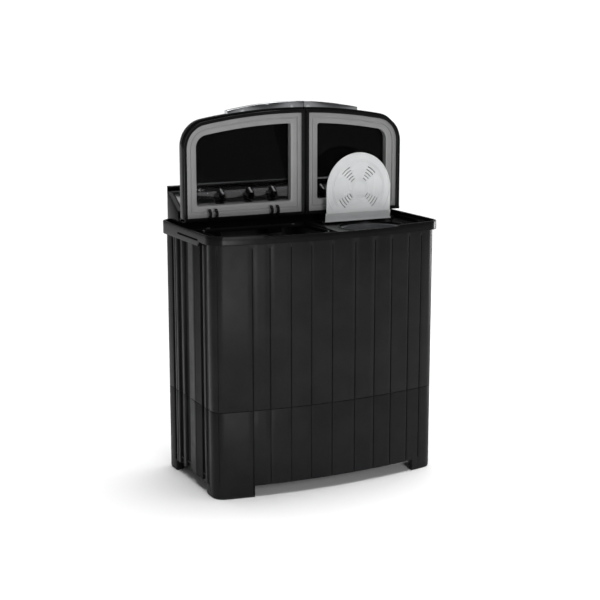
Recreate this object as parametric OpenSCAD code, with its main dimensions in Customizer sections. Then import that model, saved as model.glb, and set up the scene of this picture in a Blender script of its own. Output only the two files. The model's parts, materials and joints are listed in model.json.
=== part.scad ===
// Twin tub washing machine: wash tub on the left, spin tub on the right.
// X to the right, front towards -Y, +Z up. Origin: centre of the footprint, on the floor.

/* [Overall] */
// Width over the deck rim
rim_w = 740; // [680:1:900]
// Depth over the deck rim, at the crown of the bowed front
rim_d = 433; // [420:1:540]
// Height of the deck rim above the floor
rim_h = 762; // [700:1:930]
// How far the front bows out at its middle
front_bow = 42; // [20:1:60]
// Radius of the rim's front corners
front_r = 46; // [40:1:70]
// Radius of the rim's rear corners
rear_r = 36; // [30:1:60]
// Height of the seam between base and cabinet
seam_z = 256; // [220:1:320]

/* [Walls] */
// How far the rim stands out past the cabinet
overhang = 11; // [8:1:16]
// Wall of the cabinet, base and panel mouldings
wall = 4; // [3:0.5:6]
// Wall of the two tubs
tub_wall = 3; // [2:0.5:5]
// Depth of the channels down both sides
channel_d = 7; // [4:1:10]
// Width of a plank groove in the front
groove_w = 4; // [2:0.5:6]
// Depth of a plank groove in the front
groove_d = 4; // [2:0.5:5]

/* [Feet] */
// Height of the skirt's bottom edge above the floor
skirt_z = 34; // [25:1:60]
// Width of the left front foot
foot_left = 113; // [70:1:130]
// Width of the right front foot and of both rear feet
foot_right = 78; // [60:1:110]
// Length of each foot along the side
foot_side = 66; // [50:1:90]
// Thickness of the rubber pad under each foot
pad_t = 4; // [2:0.5:8]

/* [Deck] */
// Thickness of the rim wall at its top
rim_wall = 8; // [6:0.5:12]
// Height of the rim band at the front
rim_band = 26; // [20:1:36]
// Height of the rim band at the sides and back
rim_band_side = 38; // [26:1:50]
// Depth of the lid recess below the rim
recess_d = 20; // [16:1:30]
// Width of the shelf that the lids rest on
shelf_w = 10; // [6:1:14]
// Thickness of the deck
deck_t = 3; // [2:0.5:5]
// Half width of the lowered finger bay in the front rim
bay_half = 212; // [150:1:260]
// Depth of the finger bay
bay_d = 5; // [3:0.5:7]
// Where the two lids meet, right of the middle
seam_x = 33; // [0:1:60]

/* [Panel] */
// Depth of the control panel
panel_d = 91; // [80:1:110]
// Height of the panel's upright front wall above the lid recess
panel_wall_h = 55; // [50:1:70]
// Height of the panel's ridge above the lid recess
panel_h = 120; // [110:1:140]
// Radius of a control knob
knob_r = 19; // [15:1:22]
// Height of a control knob
knob_h = 24; // [18:1:28]
// Radius of a knob's spindle
spindle_r = 3; // [2.5:0.5:4]

/* [Lids] */
// Thickness of a lid
lid_t = 37; // [30:1:45]
// Radius of a lid's outer front corner
lid_r = 80; // [50:1:90]
// Width of the rim round a lid's underside
lid_rim = 10; // [6:1:14]
// Height of that rim
lid_rim_h = 8; // [5:1:12]
// Width of the liner between that rim and the window
liner_w = 33; // [24:1:40]
// Thickness of a window
window_t = 3; // [2:0.5:4]
// Height of the bright handle strip above a lid's edge
trim_h = 17; // [10:1:20]
// Height of the bright strips at their ends
trim_end = 9; // [3:1:10]
// Radius of a lid's hinge pin
pin_r = 3; // [2.5:0.5:3.5]

/* [Spin side] */
// Radius of the spin basket
basket_r = 96; // [80:1:98]
// Depth of the spin basket
basket_d = 310; // [240:1:330]
// Thickness of the hinged spin cover
cover_t = 2.5; // [2:0.5:3]
// Radius of the spin shaft
spin_shaft_r = 6; // [5:0.5:8]
// Radius of the brake drum
drum_r = 45; // [35:1:55]

/* [Wash side] */
// Depth of the wash tub below the deck
wash_d = 358; // [300:1:370]
// Radius of the pulsator
pulsator_r = 112; // [90:1:125]
// Radius of the pulsator shaft
wash_shaft_r = 8; // [6:0.5:10]
// Radius of the wash pulley
pulley_r = 85; // [70:1:95]
// Radius of the motor pulley
motor_pulley_r = 22; // [16:1:28]

/* [Fits] */
// Gap between lids and what they close onto
lid_gap = 1.5; // [1:0.5:3]
// Gap between parts that pass each other
clear = 0.5; // [0.4:0.1:1]
// Radial running clearance of a shaft or pin in its bore
run_fit = 0.06; // [0.02:0.01:0.1]

/* [Hidden] */
$fn = 64;

// Plan outline. Every outline of the body is the rim's outline moved in by some inset.
bow_r = (pow(rim_w / 2, 2) + pow(front_bow, 2)) / (2 * front_bow);
bow_y = -rim_d / 2 + bow_r;
function arc(c, r, a0, a1, n) =
    [for (i = [0:n]) c + r * [cos(a0 + (a1 - a0) * i / n), sin(a0 + (a1 - a0) * i / n)]];
function front_y(x, inset) = bow_y - sqrt(pow(bow_r - inset, 2) - x * x);
function plan_points(inset) =
    let (hw = rim_w / 2 - inset, hd = rim_d / 2 - inset, r = bow_r - inset,
         rf = max(front_r - inset, 3), rr = max(rear_r - inset, 3),
         fy = bow_y - sqrt(pow(r - rf, 2) - pow(hw - rf, 2)),
         at = 180 + atan2(bow_y - fy, hw - rf))
    concat(arc([-hw + rf, fy], rf, 180, at, 8), arc([0, bow_y], r, at, 540 - at, 40),
           arc([hw - rf, fy], rf, 540 - at, 360, 8), arc([hw - rr, hd - rr], rr, 0, 90, 8),
           arc([rr - hw, hd - rr], rr, 90, 180, 8));

// Levels
deck_z = rim_h - recess_d;
shelf_z = rim_h - recess_d / 2;
cab_top = deck_z - deck_t;
gutter_z = deck_z - 14;

// Cabinet
body_half = rim_w / 2 - overhang;
side_plane = body_half - channel_d;
body_back = rim_d / 2 - overhang;
groove_shares = [-0.696, -0.554, -0.379, -0.205, -0.02, 0.188, 0.373, 0.539, 0.713, 0.843];
groove_top = rim_h - rim_band - 14;
corner_groove_d = groove_d / 2;
// Side ribs from back to front: start, end and height, as distances from the back
side_ribs = [[23, 57, 1], [73, 84, 1], [87, 100, 1], [130, 146, 1], [183, 271, 0.85],
             [213, 228, 1], [295, 308, 1], [308, 329, 0.6], [329, 342, 1]];
rib_scale = (rim_d - 2 * overhang) / 411;
service_w = 420;
service_z0 = seam_z + 60;
service_z1 = cab_top - 90;

// Control panel
panel_back = rim_d / 2 - rim_wall - lid_gap;
panel_front = panel_back - panel_d;
panel_half = rim_w / 2 - rim_wall - shelf_w - 3;
panel_wall_z = deck_z + panel_wall_h;
slope_top = deck_z + panel_h - 12;
slope_end = panel_back - 4;
slope = atan2(slope_top - panel_wall_z, slope_end - panel_front);
knob_y = (panel_front + slope_end) / 2;
knob_z = (panel_wall_z + slope_top) / 2;
knob_xs = [-194, -102, -27, 143];
fascia_t = 2;
inlet_r = 10;
inlet_neck_r = 8;
inlet_pocket = 26;
inlet_flange = 3;
inlet_xs = [38, 84];
inlet_z = deck_z + 70;

// Lids, drawn open: upright, underside towards the front
lid_half = rim_w / 2 - rim_wall - 5;
face_closed = shelf_z + 0.4;
pin_off = pin_r + 3.8;
eye_r = pin_r + 3;
lid_back = panel_front - lid_gap * 2;
lid_face = panel_front - 71;
pin_y = lid_face + lid_t + pin_off;
pin_z = face_closed + pin_y - lid_face;
lid_bottom = pin_y + pin_z - lid_back;
lid_front = -rim_d / 2 + rim_wall - 0.3 + lid_gap;
lid_top = pin_y + pin_z - lid_front;
lid_bow_r = bow_r - rim_wall;
skin_t = 3;
seam_gap = 2;
wash_edge = seam_x - seam_gap / 2;
spin_edge = -seam_x - seam_gap / 2;
wash_hinges = [-lid_half + 60, wash_edge - 70];
spin_hinges = [seam_x + 60, lid_half - 60];
claw_pitch = 20;
claw_t = 7;
trim_half = bay_half + 2;
trim_back = 22;

// Spin side
spin_x = (seam_x + rim_w / 2 - rim_wall) / 2;
opening_r = basket_r + 5;
cover_r = basket_r + 13;
cover_arm = cover_r - 14;
spin_y = front_y(spin_x, rim_wall + shelf_w) + cover_r + 5;
cover_y = spin_y + cover_arm;
cover_z = deck_z + 8;
cover_pin_r = 2.5;
fold_h = 24;
wash_claws = [-lid_half + 74, wash_edge - 118];
spin_claws = [spin_x - cover_r * 0.7, spin_x + cover_r * 0.5];
claw_xs = concat(wash_claws, spin_claws);
spin_tub_r = basket_r + 8;
ring_r = basket_r + 3;
basket_top = cab_top - 3;
basket_z = basket_top - basket_d;
spin_floor = basket_z - 14;
drum_z = 240;
motor_top = drum_z - 14;
motor_r = 62;
base_floor = skirt_z + 18;
spring_h = 60;
motor_z = base_floor + wall + spring_h;

// Wash side
wash_x1 = seam_x - 21;
wash_x0 = -rim_w / 2 + rim_wall + shelf_w + 34;
wash_y0 = front_y(wash_x0, rim_wall + shelf_w) + 4;
wash_y1 = panel_front + 3;
opening_y1 = lid_face - 5;
wash_cx = (wash_x0 + wash_x1) / 2;
wash_cy = (wash_y0 + wash_y1) / 2;
wash_r = 42;
wash_floor = deck_z - wash_d;
well_d = 14;
well_r = pulsator_r + 6;
housing_r = 60;
housing_z = wash_floor - well_d - tub_wall - 66;
pulley_t = 16;
pulley_z = housing_z - pulley_t - 16;
motor_dx = 135;
motor_dy = 110;
wash_motor_r = 48;
bracket_z = wash_floor - well_d - tub_wall - 12;
rim_groove = 5;
filter_w = 66;
filter_t = 12;
filter_z = wash_floor + 90;
filter_y = wash_cy;

// Drain
valve_x = wash_cx + 40;
valve_y = (wash_y1 + tub_wall + body_back - wall) / 2;
valve_r = 22;
valve_z = wash_floor - 50;
plunger_r = 12;
outlet_z = 120;
outlet_r = 13;
gland_r = 8;
gland_flange_r = 12;
gland_seat = 6;
gland_fit = 0.1;
cord_r = 4;
pocket_w = 76;
pocket_h = 70;

module plan(inset) { polygon(plan_points(inset)); }
module slab(inset, z0, z1) { translate([0, 0, z0]) linear_extrude(z1 - z0) plan(inset); }
module ring(in0, in1, z0, z1) {
    translate([0, 0, z0]) linear_extrude(z1 - z0) difference() { plan(in0); plan(in1); }
}
module block(x0, x1, y0, y1, z0, z1) { translate([x0, y0, z0]) cube([x1 - x0, y1 - y0, z1 - z0]); }
module rounded(x0, x1, y0, y1, r) {
    polygon(concat(arc([x0 + r, y0 + r], r, 180, 270, 8), arc([x1 - r, y0 + r], r, 270, 360, 8),
                   arc([x1 - r, y1 - r], r, 0, 90, 8), arc([x0 + r, y1 - r], r, 90, 180, 8)));
}
module tube(r0, r1, h) {
    difference() {
        cylinder(r = r0, h = h);
        translate([0, 0, -1]) cylinder(r = r1, h = h + 2);
    }
}
module along_x(x, y, z) { translate([x, y, z]) rotate([0, 90, 0]) children(); }
module both_sides() {
    children();
    mirror([1, 0, 0]) children();
}
// A frame on the sloping panel: z out of the slope, y up the slope
module on_slope(x) { translate([x, knob_y, knob_z]) rotate([slope, 0, 0]) children(); }

// Cross-section of cabinet and base: bowed planked front, channelled sides
module body_section() {
    difference() {
        plan(overhang);
        both_sides() translate([side_plane, -rim_d])
            square([channel_d + 1, rim_d + body_back - 23 * rib_scale]);
        intersection() {
            plan(overhang + wall);
            square([2 * (side_plane - wall), 2 * rim_d], center = true);
        }
    }
    intersection() {
        difference() { plan(overhang); plan(overhang + wall + 1); }
        both_sides() translate([side_plane - wall, -rim_d])
            square([channel_d + 20, rim_d + body_back - 342 * rib_scale]);
    }
    intersection() {
        plan(overhang);
        both_sides() for (r = side_ribs)
            translate([side_plane - 1, body_back - r[1] * rib_scale])
                square([1 + channel_d * r[2], (r[1] - r[0]) * rib_scale]);
    }
    intersection() {
        difference() { plan(overhang + 1); plan(overhang + wall + groove_d); }
        for (s = groove_shares) translate([s * body_half - groove_w * 1.5, -rim_d])
            square([groove_w * 3, rim_d]);
    }
}
module plank_groove(share, z0, z1) {
    x = share * body_half;
    y = front_y(x, overhang);
    block(x - groove_w / 2, x + groove_w / 2, y - 3, y + groove_d, z0, z1);
}
module plank_grooves(z0, z1) {
    corner_r = front_r - overhang;
    corner_y = bow_y - sqrt(pow(bow_r - front_r, 2) - pow(rim_w / 2 - front_r, 2));
    for (s = groove_shares) plank_groove(s, z0, z1);
    both_sides() translate([-body_half + corner_r, corner_y, z0]) rotate([0, 0, -131])
        translate([corner_r - corner_groove_d, -groove_w / 4, 0]) cube([groove_d, groove_w / 2, z1 - z0]);
}

module cabinet_shell() {
    color("#2b2b2b") difference() {
        translate([0, 0, seam_z + 1]) linear_extrude(cab_top - seam_z - 1) body_section();
        plank_grooves(seam_z - 1, groove_top);
        ring(0, overhang + 1.5, seam_z, seam_z + 2);
        block(-service_w / 2, service_w / 2, body_back - wall - 1, body_back + 1, service_z0, service_z1);
        at_gland() cylinder(r = gland_r, h = 20);
    }
}

// Plan areas of the four feet
module foot_areas() {
    side_front = front_y(body_half - 2, overhang);
    translate([-body_half, -rim_d / 2]) square([foot_left, side_front + foot_side + rim_d / 2]);
    translate([body_half - foot_right, -rim_d / 2])
        square([foot_right, side_front + foot_side + rim_d / 2]);
    both_sides() translate([body_half - foot_right, body_back - foot_side]) square([foot_right, foot_side]);
}
module base_frame() {
    color("#2a2a2a") difference() {
        union() {
            translate([0, 0, skirt_z]) linear_extrude(seam_z - skirt_z) body_section();
            slab(overhang + wall - 1, base_floor, base_floor + wall);
            translate([0, 0, pad_t]) linear_extrude(skirt_z - pad_t + 1) intersection() {
                difference() { plan(overhang); plan(overhang + 22); }
                foot_areas();
            }
        }
        plank_grooves(skirt_z + 5, seam_z + 1);
        plank_groove(groove_shares[0], pad_t - 1, skirt_z + 6);
        block(wash_cx - 90, wash_cx + 90, -80, 80, base_floor - 1, base_floor + wall + 1);
        block(valve_x - pocket_w / 2, valve_x + pocket_w / 2, body_back - wall - 1, body_back + 1,
              outlet_z - pocket_h / 2, outlet_z + pocket_h / 2);
    }
}
module foot_pads() {
    color("#1c1c1c") linear_extrude(pad_t) intersection() {
        difference() { plan(overhang + 2); plan(overhang + 20); }
        foot_areas();
    }
}
module bottom_cover() {
    color("#222222") difference() {
        block(wash_cx - 100, wash_cx + 100, -90, 90, base_floor - 3, base_floor);
        for (i = [-3:3]) block(wash_cx - 60, wash_cx + 60, i * 18 - 3, i * 18 + 3, base_floor - 4,
            base_floor + 1);
    }
}

// Openings in the deck
module wash_opening(grow = 0) {
    rounded(wash_x0 - grow, wash_x1 + grow, wash_y0 - grow, opening_y1 + grow, wash_r - 8 + grow);
}
module top_deck() {
    difference() {
        color("#2e2e2e") union() {
            ring(0, rim_wall, rim_h - rim_band, rim_h);
            intersection() {
                ring(0, rim_wall, rim_h - rim_band_side, rim_h - rim_band + 1);
                both_sides() block(rim_w / 2 - rim_wall - 1, rim_w, -90, rim_d, 0, rim_h);
            }
            slab(rim_wall - 1, cab_top, deck_z);
            intersection() {
                ring(rim_wall - 1, rim_wall + shelf_w, deck_z - 1, shelf_z);
                block(-rim_w, rim_w, -rim_d, lid_face + 12, 0, rim_h);
            }
            block(seam_x - 10, seam_x + 10, front_y(seam_x, rim_wall + 2), lid_face - 4, deck_z - 1,
                shelf_z);
            translate([0, 0, deck_z - 1]) linear_extrude(shelf_z - deck_z - 1) difference() {
                wash_opening(5);
                wash_opening();
            }
            for (x = claw_xs) block(x - 9, x + claw_pitch + claw_t + 9, lid_face - 4, lid_back + 3,
                gutter_z - deck_t, deck_z - 1);
            for (s = [-1, 1]) block(spin_x + s * (cover_r + 8) - 3, spin_x + s * (cover_r + 8) + 3,
                                    cover_y - 5, cover_y + 5, deck_z - 1, cover_z + 4);
            translate([spin_x, spin_y, deck_z - 1]) tube(opening_r + 4, opening_r, 2.2);
        }
        translate([0, 0, cab_top - 20]) linear_extrude(60) wash_opening();
        translate([spin_x, spin_y, cab_top - 20]) cylinder(r = opening_r, h = 40);
        for (x = claw_xs) block(x - 6, x + claw_pitch + claw_t + 6, lid_face - 1, lid_back, gutter_z,
            deck_z + 1);
        block(-bay_half, bay_half, -rim_d / 2 - 1, front_y(bay_half, rim_wall + 0.5), rim_h - bay_d,
            rim_h + 1);
        both_sides() block(body_half, rim_w / 2 + 1, -76, 66, rim_h - rim_band + 2, rim_h - rim_band + 8);
        along_x(spin_x - cover_r - 12, cover_y, cover_z)
            cylinder(r = cover_pin_r + run_fit, h = 2 * cover_r + 24);
        for (x = knob_xs) block(x - 25, x + 25, panel_front + 14, panel_back - 12, cab_top - 1, deck_z + 1);
    }
}
module panel_profile() {
    polygon(concat([[panel_front, deck_z], [panel_back, deck_z]],
                   arc([panel_back - 5, deck_z + panel_h - 5], 5, 0, 90, 5),
                   [[slope_end - 6, deck_z + panel_h - 3], [slope_end, slope_top],
                       [panel_front, panel_wall_z]]));
}
// The space inside the panel, one wall in from the front, the slope and the back
module panel_hollow() {
    drop = wall / cos(slope);
    y0 = panel_front + wall;
    y1 = panel_back - wall;
    polygon([[y0, deck_z + wall], [y1, deck_z + wall],
             [y1, panel_wall_z + (y1 - panel_front) * tan(slope) - drop],
             [y0, panel_wall_z + wall * tan(slope) - drop]]);
}
module panel_prism(half) {
    rotate([90, 0, 90]) translate([0, 0, -half]) linear_extrude(2 * half) children();
}
module control_panel() {
    color("#262626") difference() {
        union() {
            difference() {
                intersection() {
                    panel_prism(panel_half) panel_profile();
                    slab(rim_wall + lid_gap, deck_z - 1, deck_z + panel_h + 1);
                }
                panel_prism(panel_half - wall) panel_hollow();
                block(-panel_half + 20, panel_half - 20, panel_front + 12, panel_back - 10, deck_z - 1,
                    deck_z + wall + 1);
            }
            for (x = concat(wash_hinges, spin_hinges)) {
                block(x - 5, x + 5, pin_y, panel_front + 2, pin_z - eye_r,
                    min(pin_z + eye_r, panel_wall_z + 4));
                along_x(x - 5, pin_y, pin_z) cylinder(r = eye_r, h = 10);
            }
            for (x = inlet_xs) block(x - 20, x + 20, panel_back - 30, panel_back, inlet_z - 20,
                inlet_z + 20);
        }
        for (x = inlet_xs) {
            block(x - 16, x + 16, panel_back - inlet_pocket, panel_back + 1, inlet_z - 16, inlet_z + 16);
            translate([x, panel_back - inlet_pocket + 1, inlet_z]) rotate([90, 0, 0])
                cylinder(r = inlet_neck_r, h = 8);
        }
        for (x = concat(wash_hinges, spin_hinges)) along_x(x - 6, pin_y, pin_z) cylinder(r = pin_r, h = 12);
        for (x = knob_xs) on_slope(x) translate([0, 0, -fascia_t - wall * 2])
            cylinder(r = spindle_r + 3, h = 20);
        on_slope(0) translate([-panel_half + 16, -38, -fascia_t]) cube([2 * panel_half - 32, 76, 20]);
    }
}
module panel_fascia() {
    color("#1a1a1a") difference() {
        on_slope(0) translate([-panel_half + 16.3, -37.7, -fascia_t])
            cube([2 * panel_half - 32.6, 75.4, fascia_t]);
        for (x = knob_xs) on_slope(x) translate([0, 0, -9]) cylinder(r = spindle_r + 3, h = 20);
    }
}
module rear_cover() {
    color("#242424") difference() {
        block(-service_w / 2 - 15, service_w / 2 + 15, body_back, body_back + 3, service_z0 - 15,
            service_z1 + 15);
        for (i = [0:9]) block(60, 190, body_back - 1, body_back + 4, service_z0 + 30 + i * 14,
            service_z0 + 35 + i * 14);
        cover_screw_places() translate([0, 0, -6]) cylinder(r = 2.2, h = 14);
    }
}
module cover_screw_places() {
    for (x = [-1, 1], z = [service_z0 - 8, (service_z0 + service_z1) / 2, service_z1 + 8])
        translate([x * (service_w / 2 + 8), body_back, z]) rotate([-90, 0, 0]) children();
}
module cover_screws() {
    color("#9a9a9a") cover_screw_places() {
        translate([0, 0, 3]) cylinder(r = 4.5, h = 2.4);
        cylinder(r = 2, h = 3);
    }
}
module lid_hinge_pins() {
    color("#b0b0b0") for (x = concat(wash_hinges, spin_hinges))
        along_x(x - 5, pin_y, pin_z) cylinder(r = pin_r, h = 21);
}
module water_inlets() {
    color("#d8d8d8") for (x = inlet_xs)
        translate([x, panel_back - inlet_pocket, inlet_z]) rotate([-90, 0, 0]) {
            translate([0, 0, -4]) cylinder(r = inlet_neck_r, h = 5);
            cylinder(r = inlet_r + 3, h = inlet_flange);
            cylinder(r = inlet_r, h = inlet_pocket - 2);
        }
}
module at_gland() {
    translate([-body_half + 80, body_back - wall - gland_seat, seam_z + 34]) rotate([-90, 0, 0]) children();
}
module cord_gland() {
    color("#161616") at_gland() difference() {
        union() {
            cylinder(r = gland_r, h = gland_seat + wall + 4);
            cylinder(r = gland_flange_r, h = gland_seat - gland_fit);
            translate([0, 0, gland_seat + wall]) cylinder(r = gland_flange_r, h = 3);
        }
        translate([0, 0, -1]) cylinder(r = cord_r, h = gland_seat + wall + 6);
    }
}

module wash_plan(grow) {
    rounded(wash_x0 - grow, wash_x1 + grow, wash_y0 - grow, wash_y1 + grow, wash_r + grow);
}
module wash_tub() {
    well_z = wash_floor - well_d;
    color("#26272a") difference() {
        union() {
            translate([0, 0, wash_floor - tub_wall]) linear_extrude(cab_top - wash_floor + tub_wall)
                wash_plan(tub_wall);
            translate([0, 0, cab_top - 3]) linear_extrude(3) wash_plan(tub_wall + 6);
            translate([wash_cx, wash_cy, well_z - tub_wall])
                cylinder(r = well_r + tub_wall, h = well_d + 1);
        }
        translate([0, 0, wash_floor]) linear_extrude(wash_d) wash_plan(0);
        translate([wash_cx, wash_cy, well_z]) cylinder(r = well_r, h = well_d + 1);
        translate([wash_cx, wash_cy, well_z - 20]) cylinder(r = wash_shaft_r + 8, h = 40);
        translate([valve_x, wash_y1 + 1, wash_floor + 20]) rotate([-90, 0, 0]) cylinder(r = 12, h = 20);
    }
}
module overflow_channel() {
    x = wash_x1;
    color("#d5d8da") difference() {
        block(x - filter_t - 6, x, filter_y - filter_w / 2 - 6, filter_y + filter_w / 2 + 6, wash_floor,
            cab_top - 24);
        block(x - filter_t - 3, x - 3, filter_y - filter_w / 2 - clear, filter_y + filter_w / 2 + clear,
              filter_z - clear, cab_top);
        block(x - filter_t - 7, x - filter_t, filter_y - filter_w / 2 + 6, filter_y + filter_w / 2 - 6,
              filter_z - clear, cab_top);
    }
}
module lint_filter() {
    x = wash_x1 - 3;
    z1 = cab_top - 22;
    color("#e9eef2") difference() {
        union() {
            block(x - filter_t + clear, x - clear, filter_y - filter_w / 2, filter_y + filter_w / 2,
                filter_z, z1);
            block(x - filter_t - 9, x - filter_t + 1, filter_y - 14, filter_y + 14, z1 - 10, z1);
        }
        block(x - filter_t + 2.5, x - 2.5, filter_y - filter_w / 2 + 3, filter_y + filter_w / 2 - 3,
            filter_z + 3, z1 - 12);
        for (i = [0:13]) block(x - filter_t - 1, x - filter_t + 3, filter_y - filter_w / 2 + 8,
            filter_y + filter_w / 2 - 8,
                               filter_z + 10 + i * 16, filter_z + 18 + i * 16);
    }
}
module wash_bearing_housing() {
    flange_z = wash_floor - well_d - tub_wall - 6;
    color("#8f9396") translate([wash_cx, wash_cy, 0]) difference() {
        union() {
            translate([0, 0, flange_z]) cylinder(r = housing_r, h = 6);
            translate([0, 0, housing_z]) cylinder(r = 20, h = flange_z - housing_z + 1);
            for (a = [0:60:300]) rotate([0, 0, a + 30]) translate([15, -2, housing_z + 20])
                cube([34, 4, flange_z - housing_z - 19]);
        }
        translate([0, 0, housing_z - 1]) cylinder(r = wash_shaft_r + run_fit, h = 120);
    }
}
module pulsator() {
    z = wash_floor - well_d + 2;
    color("#dfe3e6") translate([wash_cx, wash_cy, z]) difference() {
        union() {
            cylinder(r = pulsator_r, h = 6);
            translate([0, 0, 5]) cylinder(r1 = pulsator_r * 0.62, r2 = 26, h = 16);
            for (a = [0:90:270]) rotate([0, 0, a]) translate([10, -6, 5]) cube([pulsator_r - 16, 12, 22]);
            cylinder(r = 24, h = 34);
        }
        translate([0, 0, -1]) cylinder(r = wash_shaft_r, h = 25);
        translate([0, 0, 23]) cylinder(r = 3, h = 12);
        translate([0, 0, 30]) cylinder(r = 9, h = 12);
    }
}
module pulsator_shaft() {
    z0 = pulley_z - 6;
    z1 = wash_floor - well_d + 26;
    color("#c2c5c8") translate([wash_cx, wash_cy, z0]) difference() {
        cylinder(r = wash_shaft_r, h = z1 - z0);
        translate([0, 0, z1 - z0 - 20]) cylinder(r = 3, h = 21);
    }
}
module pulsator_screw() {
    color("#b5b5b5") translate([wash_cx, wash_cy, wash_floor - well_d + 2]) {
        translate([0, 0, 8]) cylinder(r = 3, h = 22.5);
        translate([0, 0, 30]) cylinder(r = 8, h = 3);
    }
}
module pulley(r, bore, h) {
    difference() {
        rotate_extrude() difference() {
            translate([bore, 0]) square([r - bore, h]);
            polygon([[r + 1, h / 2 - rim_groove - 0.6], [r - rim_groove, h / 2 - 1.5],
                     [r - rim_groove, h / 2 + 1.5], [r + 1, h / 2 + rim_groove + 0.6]]);
        }
        if (r > 50) for (a = [0:60:300]) rotate([0, 0, a]) translate([r * 0.55, 0, -1])
            cylinder(r = r * 0.17, h = h + 2);
    }
}
module wash_pulley() {
    color("#a9adb0") translate([wash_cx, wash_cy, pulley_z]) pulley(pulley_r, wash_shaft_r, pulley_t);
}
module at_motor() { translate([wash_cx + motor_dx, wash_cy + motor_dy, 0]) children(); }
module wash_motor() {
    z0 = pulley_z + pulley_t + 10;
    color("#6e7276") at_motor() difference() {
        union() {
            translate([0, 0, z0 + 8]) cylinder(r = wash_motor_r, h = bracket_z - 3 - z0 - 8);
            translate([0, 0, z0]) cylinder(r = 18, h = 9);
        }
        translate([0, 0, z0 - 1]) cylinder(r = 5 + run_fit, h = 31);
    }
}
module motor_bracket() {
    angle = atan2(motor_dy, motor_dx);
    reach = norm([motor_dx, motor_dy]) + 40;
    flange_z = wash_floor - well_d - tub_wall - 6;
    color("#77797b") {
        difference() {
            translate([wash_cx, wash_cy, bracket_z - 3]) rotate([0, 0, angle]) translate([-56, -38, 0])
                cube([reach + 56, 76, 3]);
            translate([wash_cx, wash_cy, bracket_z - 4]) cylinder(r = 50, h = 8);
        }
        translate([wash_cx, wash_cy, bracket_z - 3]) rotate([0, 0, angle])
            for (x = [-48, 62], y = [-31, 31]) translate([x, y, 0])
                cylinder(r = 5, h = (x < 0 ? flange_z : flange_z + 6) - bracket_z + 3);
    }
}
module motor_pulley() {
    color("#b5b8ba") at_motor() {
        translate([0, 0, pulley_z]) pulley(motor_pulley_r, 5, pulley_t);
        translate([0, 0, pulley_z - 2]) cylinder(r = 5, h = pulley_t + 2 + 36);
    }
}
module drive_belt() {
    color("#181818") translate([wash_cx, wash_cy, pulley_z + pulley_t / 2 - 1.2]) linear_extrude(2.4)
        difference() {
        hull() {
            circle(r = pulley_r + 1, $fn = 72);
            translate([motor_dx, motor_dy]) circle(r = motor_pulley_r + 1, $fn = 36);
        }
        hull() {
            circle(r = pulley_r - rim_groove + 1, $fn = 72);
            translate([motor_dx, motor_dy]) circle(r = motor_pulley_r - rim_groove + 1, $fn = 36);
        }
    }
}

module at_spin() { translate([spin_x, spin_y, 0]) children(); }
module spin_tub() {
    color("#26272a") at_spin() difference() {
        union() {
            translate([0, 0, spin_floor - tub_wall])
                cylinder(r = spin_tub_r + tub_wall, h = cab_top - spin_floor + tub_wall);
            translate([-spin_tub_r * 0.7, 0, spin_floor + 14]) rotate([90, 0, -90])
                cylinder(r = 12, h = 42);
        }
        translate([0, 0, spin_floor]) cylinder(r = spin_tub_r, h = cab_top);
        translate([0, 0, spin_floor - 20]) cylinder(r = 30, h = 40);
        translate([-spin_tub_r * 0.7, 0, spin_floor + 14]) rotate([90, 0, -90]) cylinder(r = 9, h = 50);
    }
}
module bellows_seal() {
    z = spin_floor - 34;
    color("#202020") at_spin() translate([0, 0, z]) rotate_extrude() polygon(concat(
        [[spin_shaft_r + 1, 0], [14, 0], [14, 4]],
        [for (i = [0:3]) each [[24, 7 + i * 6], [18, 10 + i * 6]]],
        [[30, 30], [30, 37], [26, 37], [26, 33], [14, 28], [11, 6], [spin_shaft_r + 1, 5]]));
}
module spin_basket() {
    rows = 5;
    cols = 16;
    color("#cfd2d4") at_spin() difference() {
        translate([0, 0, basket_z]) cylinder(r = basket_r, h = basket_d - 26);
        translate([0, 0, basket_z + 3]) cylinder(r = basket_r - 2, h = basket_d);
        for (j = [0:rows - 1], i = [0:cols - 1])
            rotate([0, 0, (i + j % 2 / 2) * 360 / cols])
                translate([basket_r - 6, 0, basket_z + 30 + j * (basket_d - 80) / (rows - 1)])
                rotate([0, 90, 0]) cylinder(r = 2.5, h = 12, $fn = 16);
        translate([0, 0, basket_z - 1]) cylinder(r = spin_shaft_r, h = 5);
    }
}
module balance_ring() {
    color("#9c9fa2") at_spin() translate([0, 0, basket_top - 26]) rotate_extrude() difference() {
        translate([basket_r - 9, 0]) square([ring_r - basket_r + 9, 26]);
        translate([basket_r - 5, 4]) square([ring_r - basket_r + 3, 18]);
    }
}
module spin_shaft() {
    color("#c2c5c8") at_spin() {
        translate([0, 0, motor_z + 30]) cylinder(r = spin_shaft_r, h = basket_z + 24 - motor_z - 30);
        translate([0, 0, basket_z - 8]) cylinder(r = 24, h = 8);
        translate([0, 0, basket_z + 3]) cylinder(r = 20, h = 6);
    }
}
module brake_drum() {
    color("#8a8d90") at_spin() translate([0, 0, drum_z]) difference() {
        union() {
            cylinder(r = drum_r, h = 22);
            cylinder(r = 14, h = 34);
        }
        translate([0, 0, 4]) tube(drum_r - 4, 18, 19);
        translate([0, 0, -1]) cylinder(r = spin_shaft_r, h = 40);
    }
}
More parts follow.
